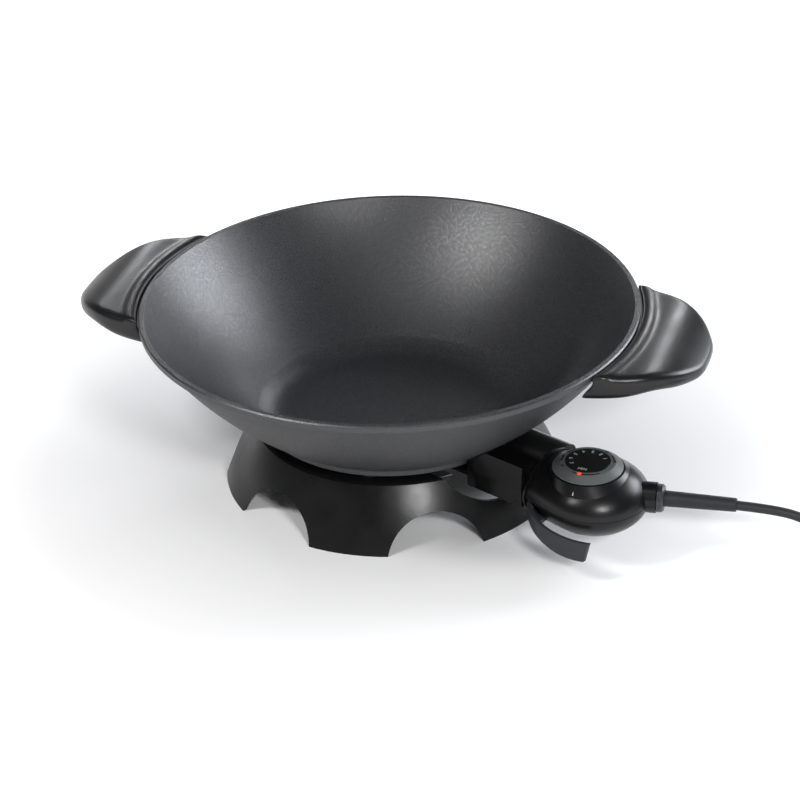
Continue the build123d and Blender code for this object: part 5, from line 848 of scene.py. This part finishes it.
floor_paint = Finish("floor_paint", (0.88, 0.88, 0.89), 0.7, specular=0.15)
floor_paint.colours(floor_paint.noise(3.0, 2.0), 0.3, 0.7, (0.79, 0.79, 0.80), (0.82, 0.82, 0.82))
coat(floor, floor_paint)
# seen directly or in a reflection, the floor is a little whiter than the lamps make it
seen = floor_paint.nodes.new("ShaderNodeLightPath")
direct = floor_paint.both(seen.outputs["Is Camera Ray"], seen.outputs["Is Glossy Ray"], "MAXIMUM")
direct = floor_paint.both(direct, seen.outputs["Is Transmission Ray"], "MAXIMUM")
# and that glow grows away from the wok: there is none near and under it, which leaves painted
# shade round the wok
reach = floor_paint.nodes.new("ShaderNodeVectorMath")
reach.operation = "LENGTH"
floor_paint.links.new(floor_paint.place, reach.inputs[0])
near = floor_paint.ramp(reach.outputs["Value"], 0.14, 0.36, 0.0, 0.31)
away = floor_paint.ramp(reach.outputs["Value"], 0.26, 0.7, 0.0, 0.6)
# painted light: the floor's glow, missing near the wok, paints shade round and under it
painted_glow = floor_paint.both(direct, floor_paint.both(near, away, "ADD"))
floor_paint.shader.inputs["Emission Color"].default_value = (1.0, 1.0, 1.0, 1.0)
floor_paint.links.new(painted_glow, floor_paint.shader.inputs["Emission Strength"])

# a white wall low down all round, and the dimmer room above it
world = bpy.data.worlds.new("studio")
scene.world = world
world.use_nodes = True
world_nodes = world.node_tree.nodes
world_links = world.node_tree.links
backdrop = world_nodes["Background"]
backdrop.inputs["Strength"].default_value = 1.0
way = world_nodes.new("ShaderNodeTexCoord")
rise = world_nodes.new("ShaderNodeSeparateXYZ")
wall = world_nodes.new("ShaderNodeValToRGB")
wall.color_ramp.elements[0].position = 0.03
wall.color_ramp.elements[0].color = (1.0, 1.0, 1.0, 1.0)
wall.color_ramp.elements[1].position = 0.13
wall.color_ramp.elements[1].color = (0.15, 0.15, 0.155, 1.0)
world_links.new(way.outputs["Generated"], rise.inputs["Vector"])
world_links.new(rise.outputs["Z"], wall.inputs["Fac"])
world_links.new(wall.outputs["Color"], backdrop.inputs["Color"])

LAMP_TARGET = Vector((0.0, 0.0, 0.08))


def soft_light(name, turn, rise, distance, width, depth, power, colour=(1.0, 1.0, 1.0)):
    """A rectangular studio lamp that faces the wok, from a turn and a rise in degrees."""
    light = bpy.data.lights.new(name, "AREA")
    light.shape = "RECTANGLE"
    light.size = width
    light.size_y = depth
    light.energy = power
    light.color = colour
    lamp = bpy.data.objects.new(name, light)
    scene.collection.objects.link(lamp)
    turn, rise = radians(turn), radians(rise)
    way = Vector((cos(rise) * cos(turn), cos(rise) * sin(turn), sin(rise)))
    lamp.location = LAMP_TARGET + way * distance
    lamp.rotation_euler = (-way).to_track_quat("-Z", "Y").to_euler()


soft_light("right_back_lamp", 42.0, 24.0, 1.6, 0.72, 0.5, 18.0, (0.90, 0.94, 1.0))
soft_light("left_front_lamp", -132.0, 47.0, 1.7, 0.35, 0.35, 14.5)
soft_light("right_front_lamp", -54.0, 30.0, 1.5, 0.26, 0.18, 13.5)
soft_light("right_handle_lamp", 85.0, 28.0, 1.6, 0.1, 0.3, 3.2, (0.96, 0.97, 1.0))
soft_light("left_handle_lamp", 123.0, 17.5, 1.6, 0.16, 0.1, 1.6, (0.96, 0.97, 1.0))
soft_light("top_lamp", -88.0, 68.0, 1.7, 0.5, 0.5, 1.5)

bpy.context.view_layer.update()
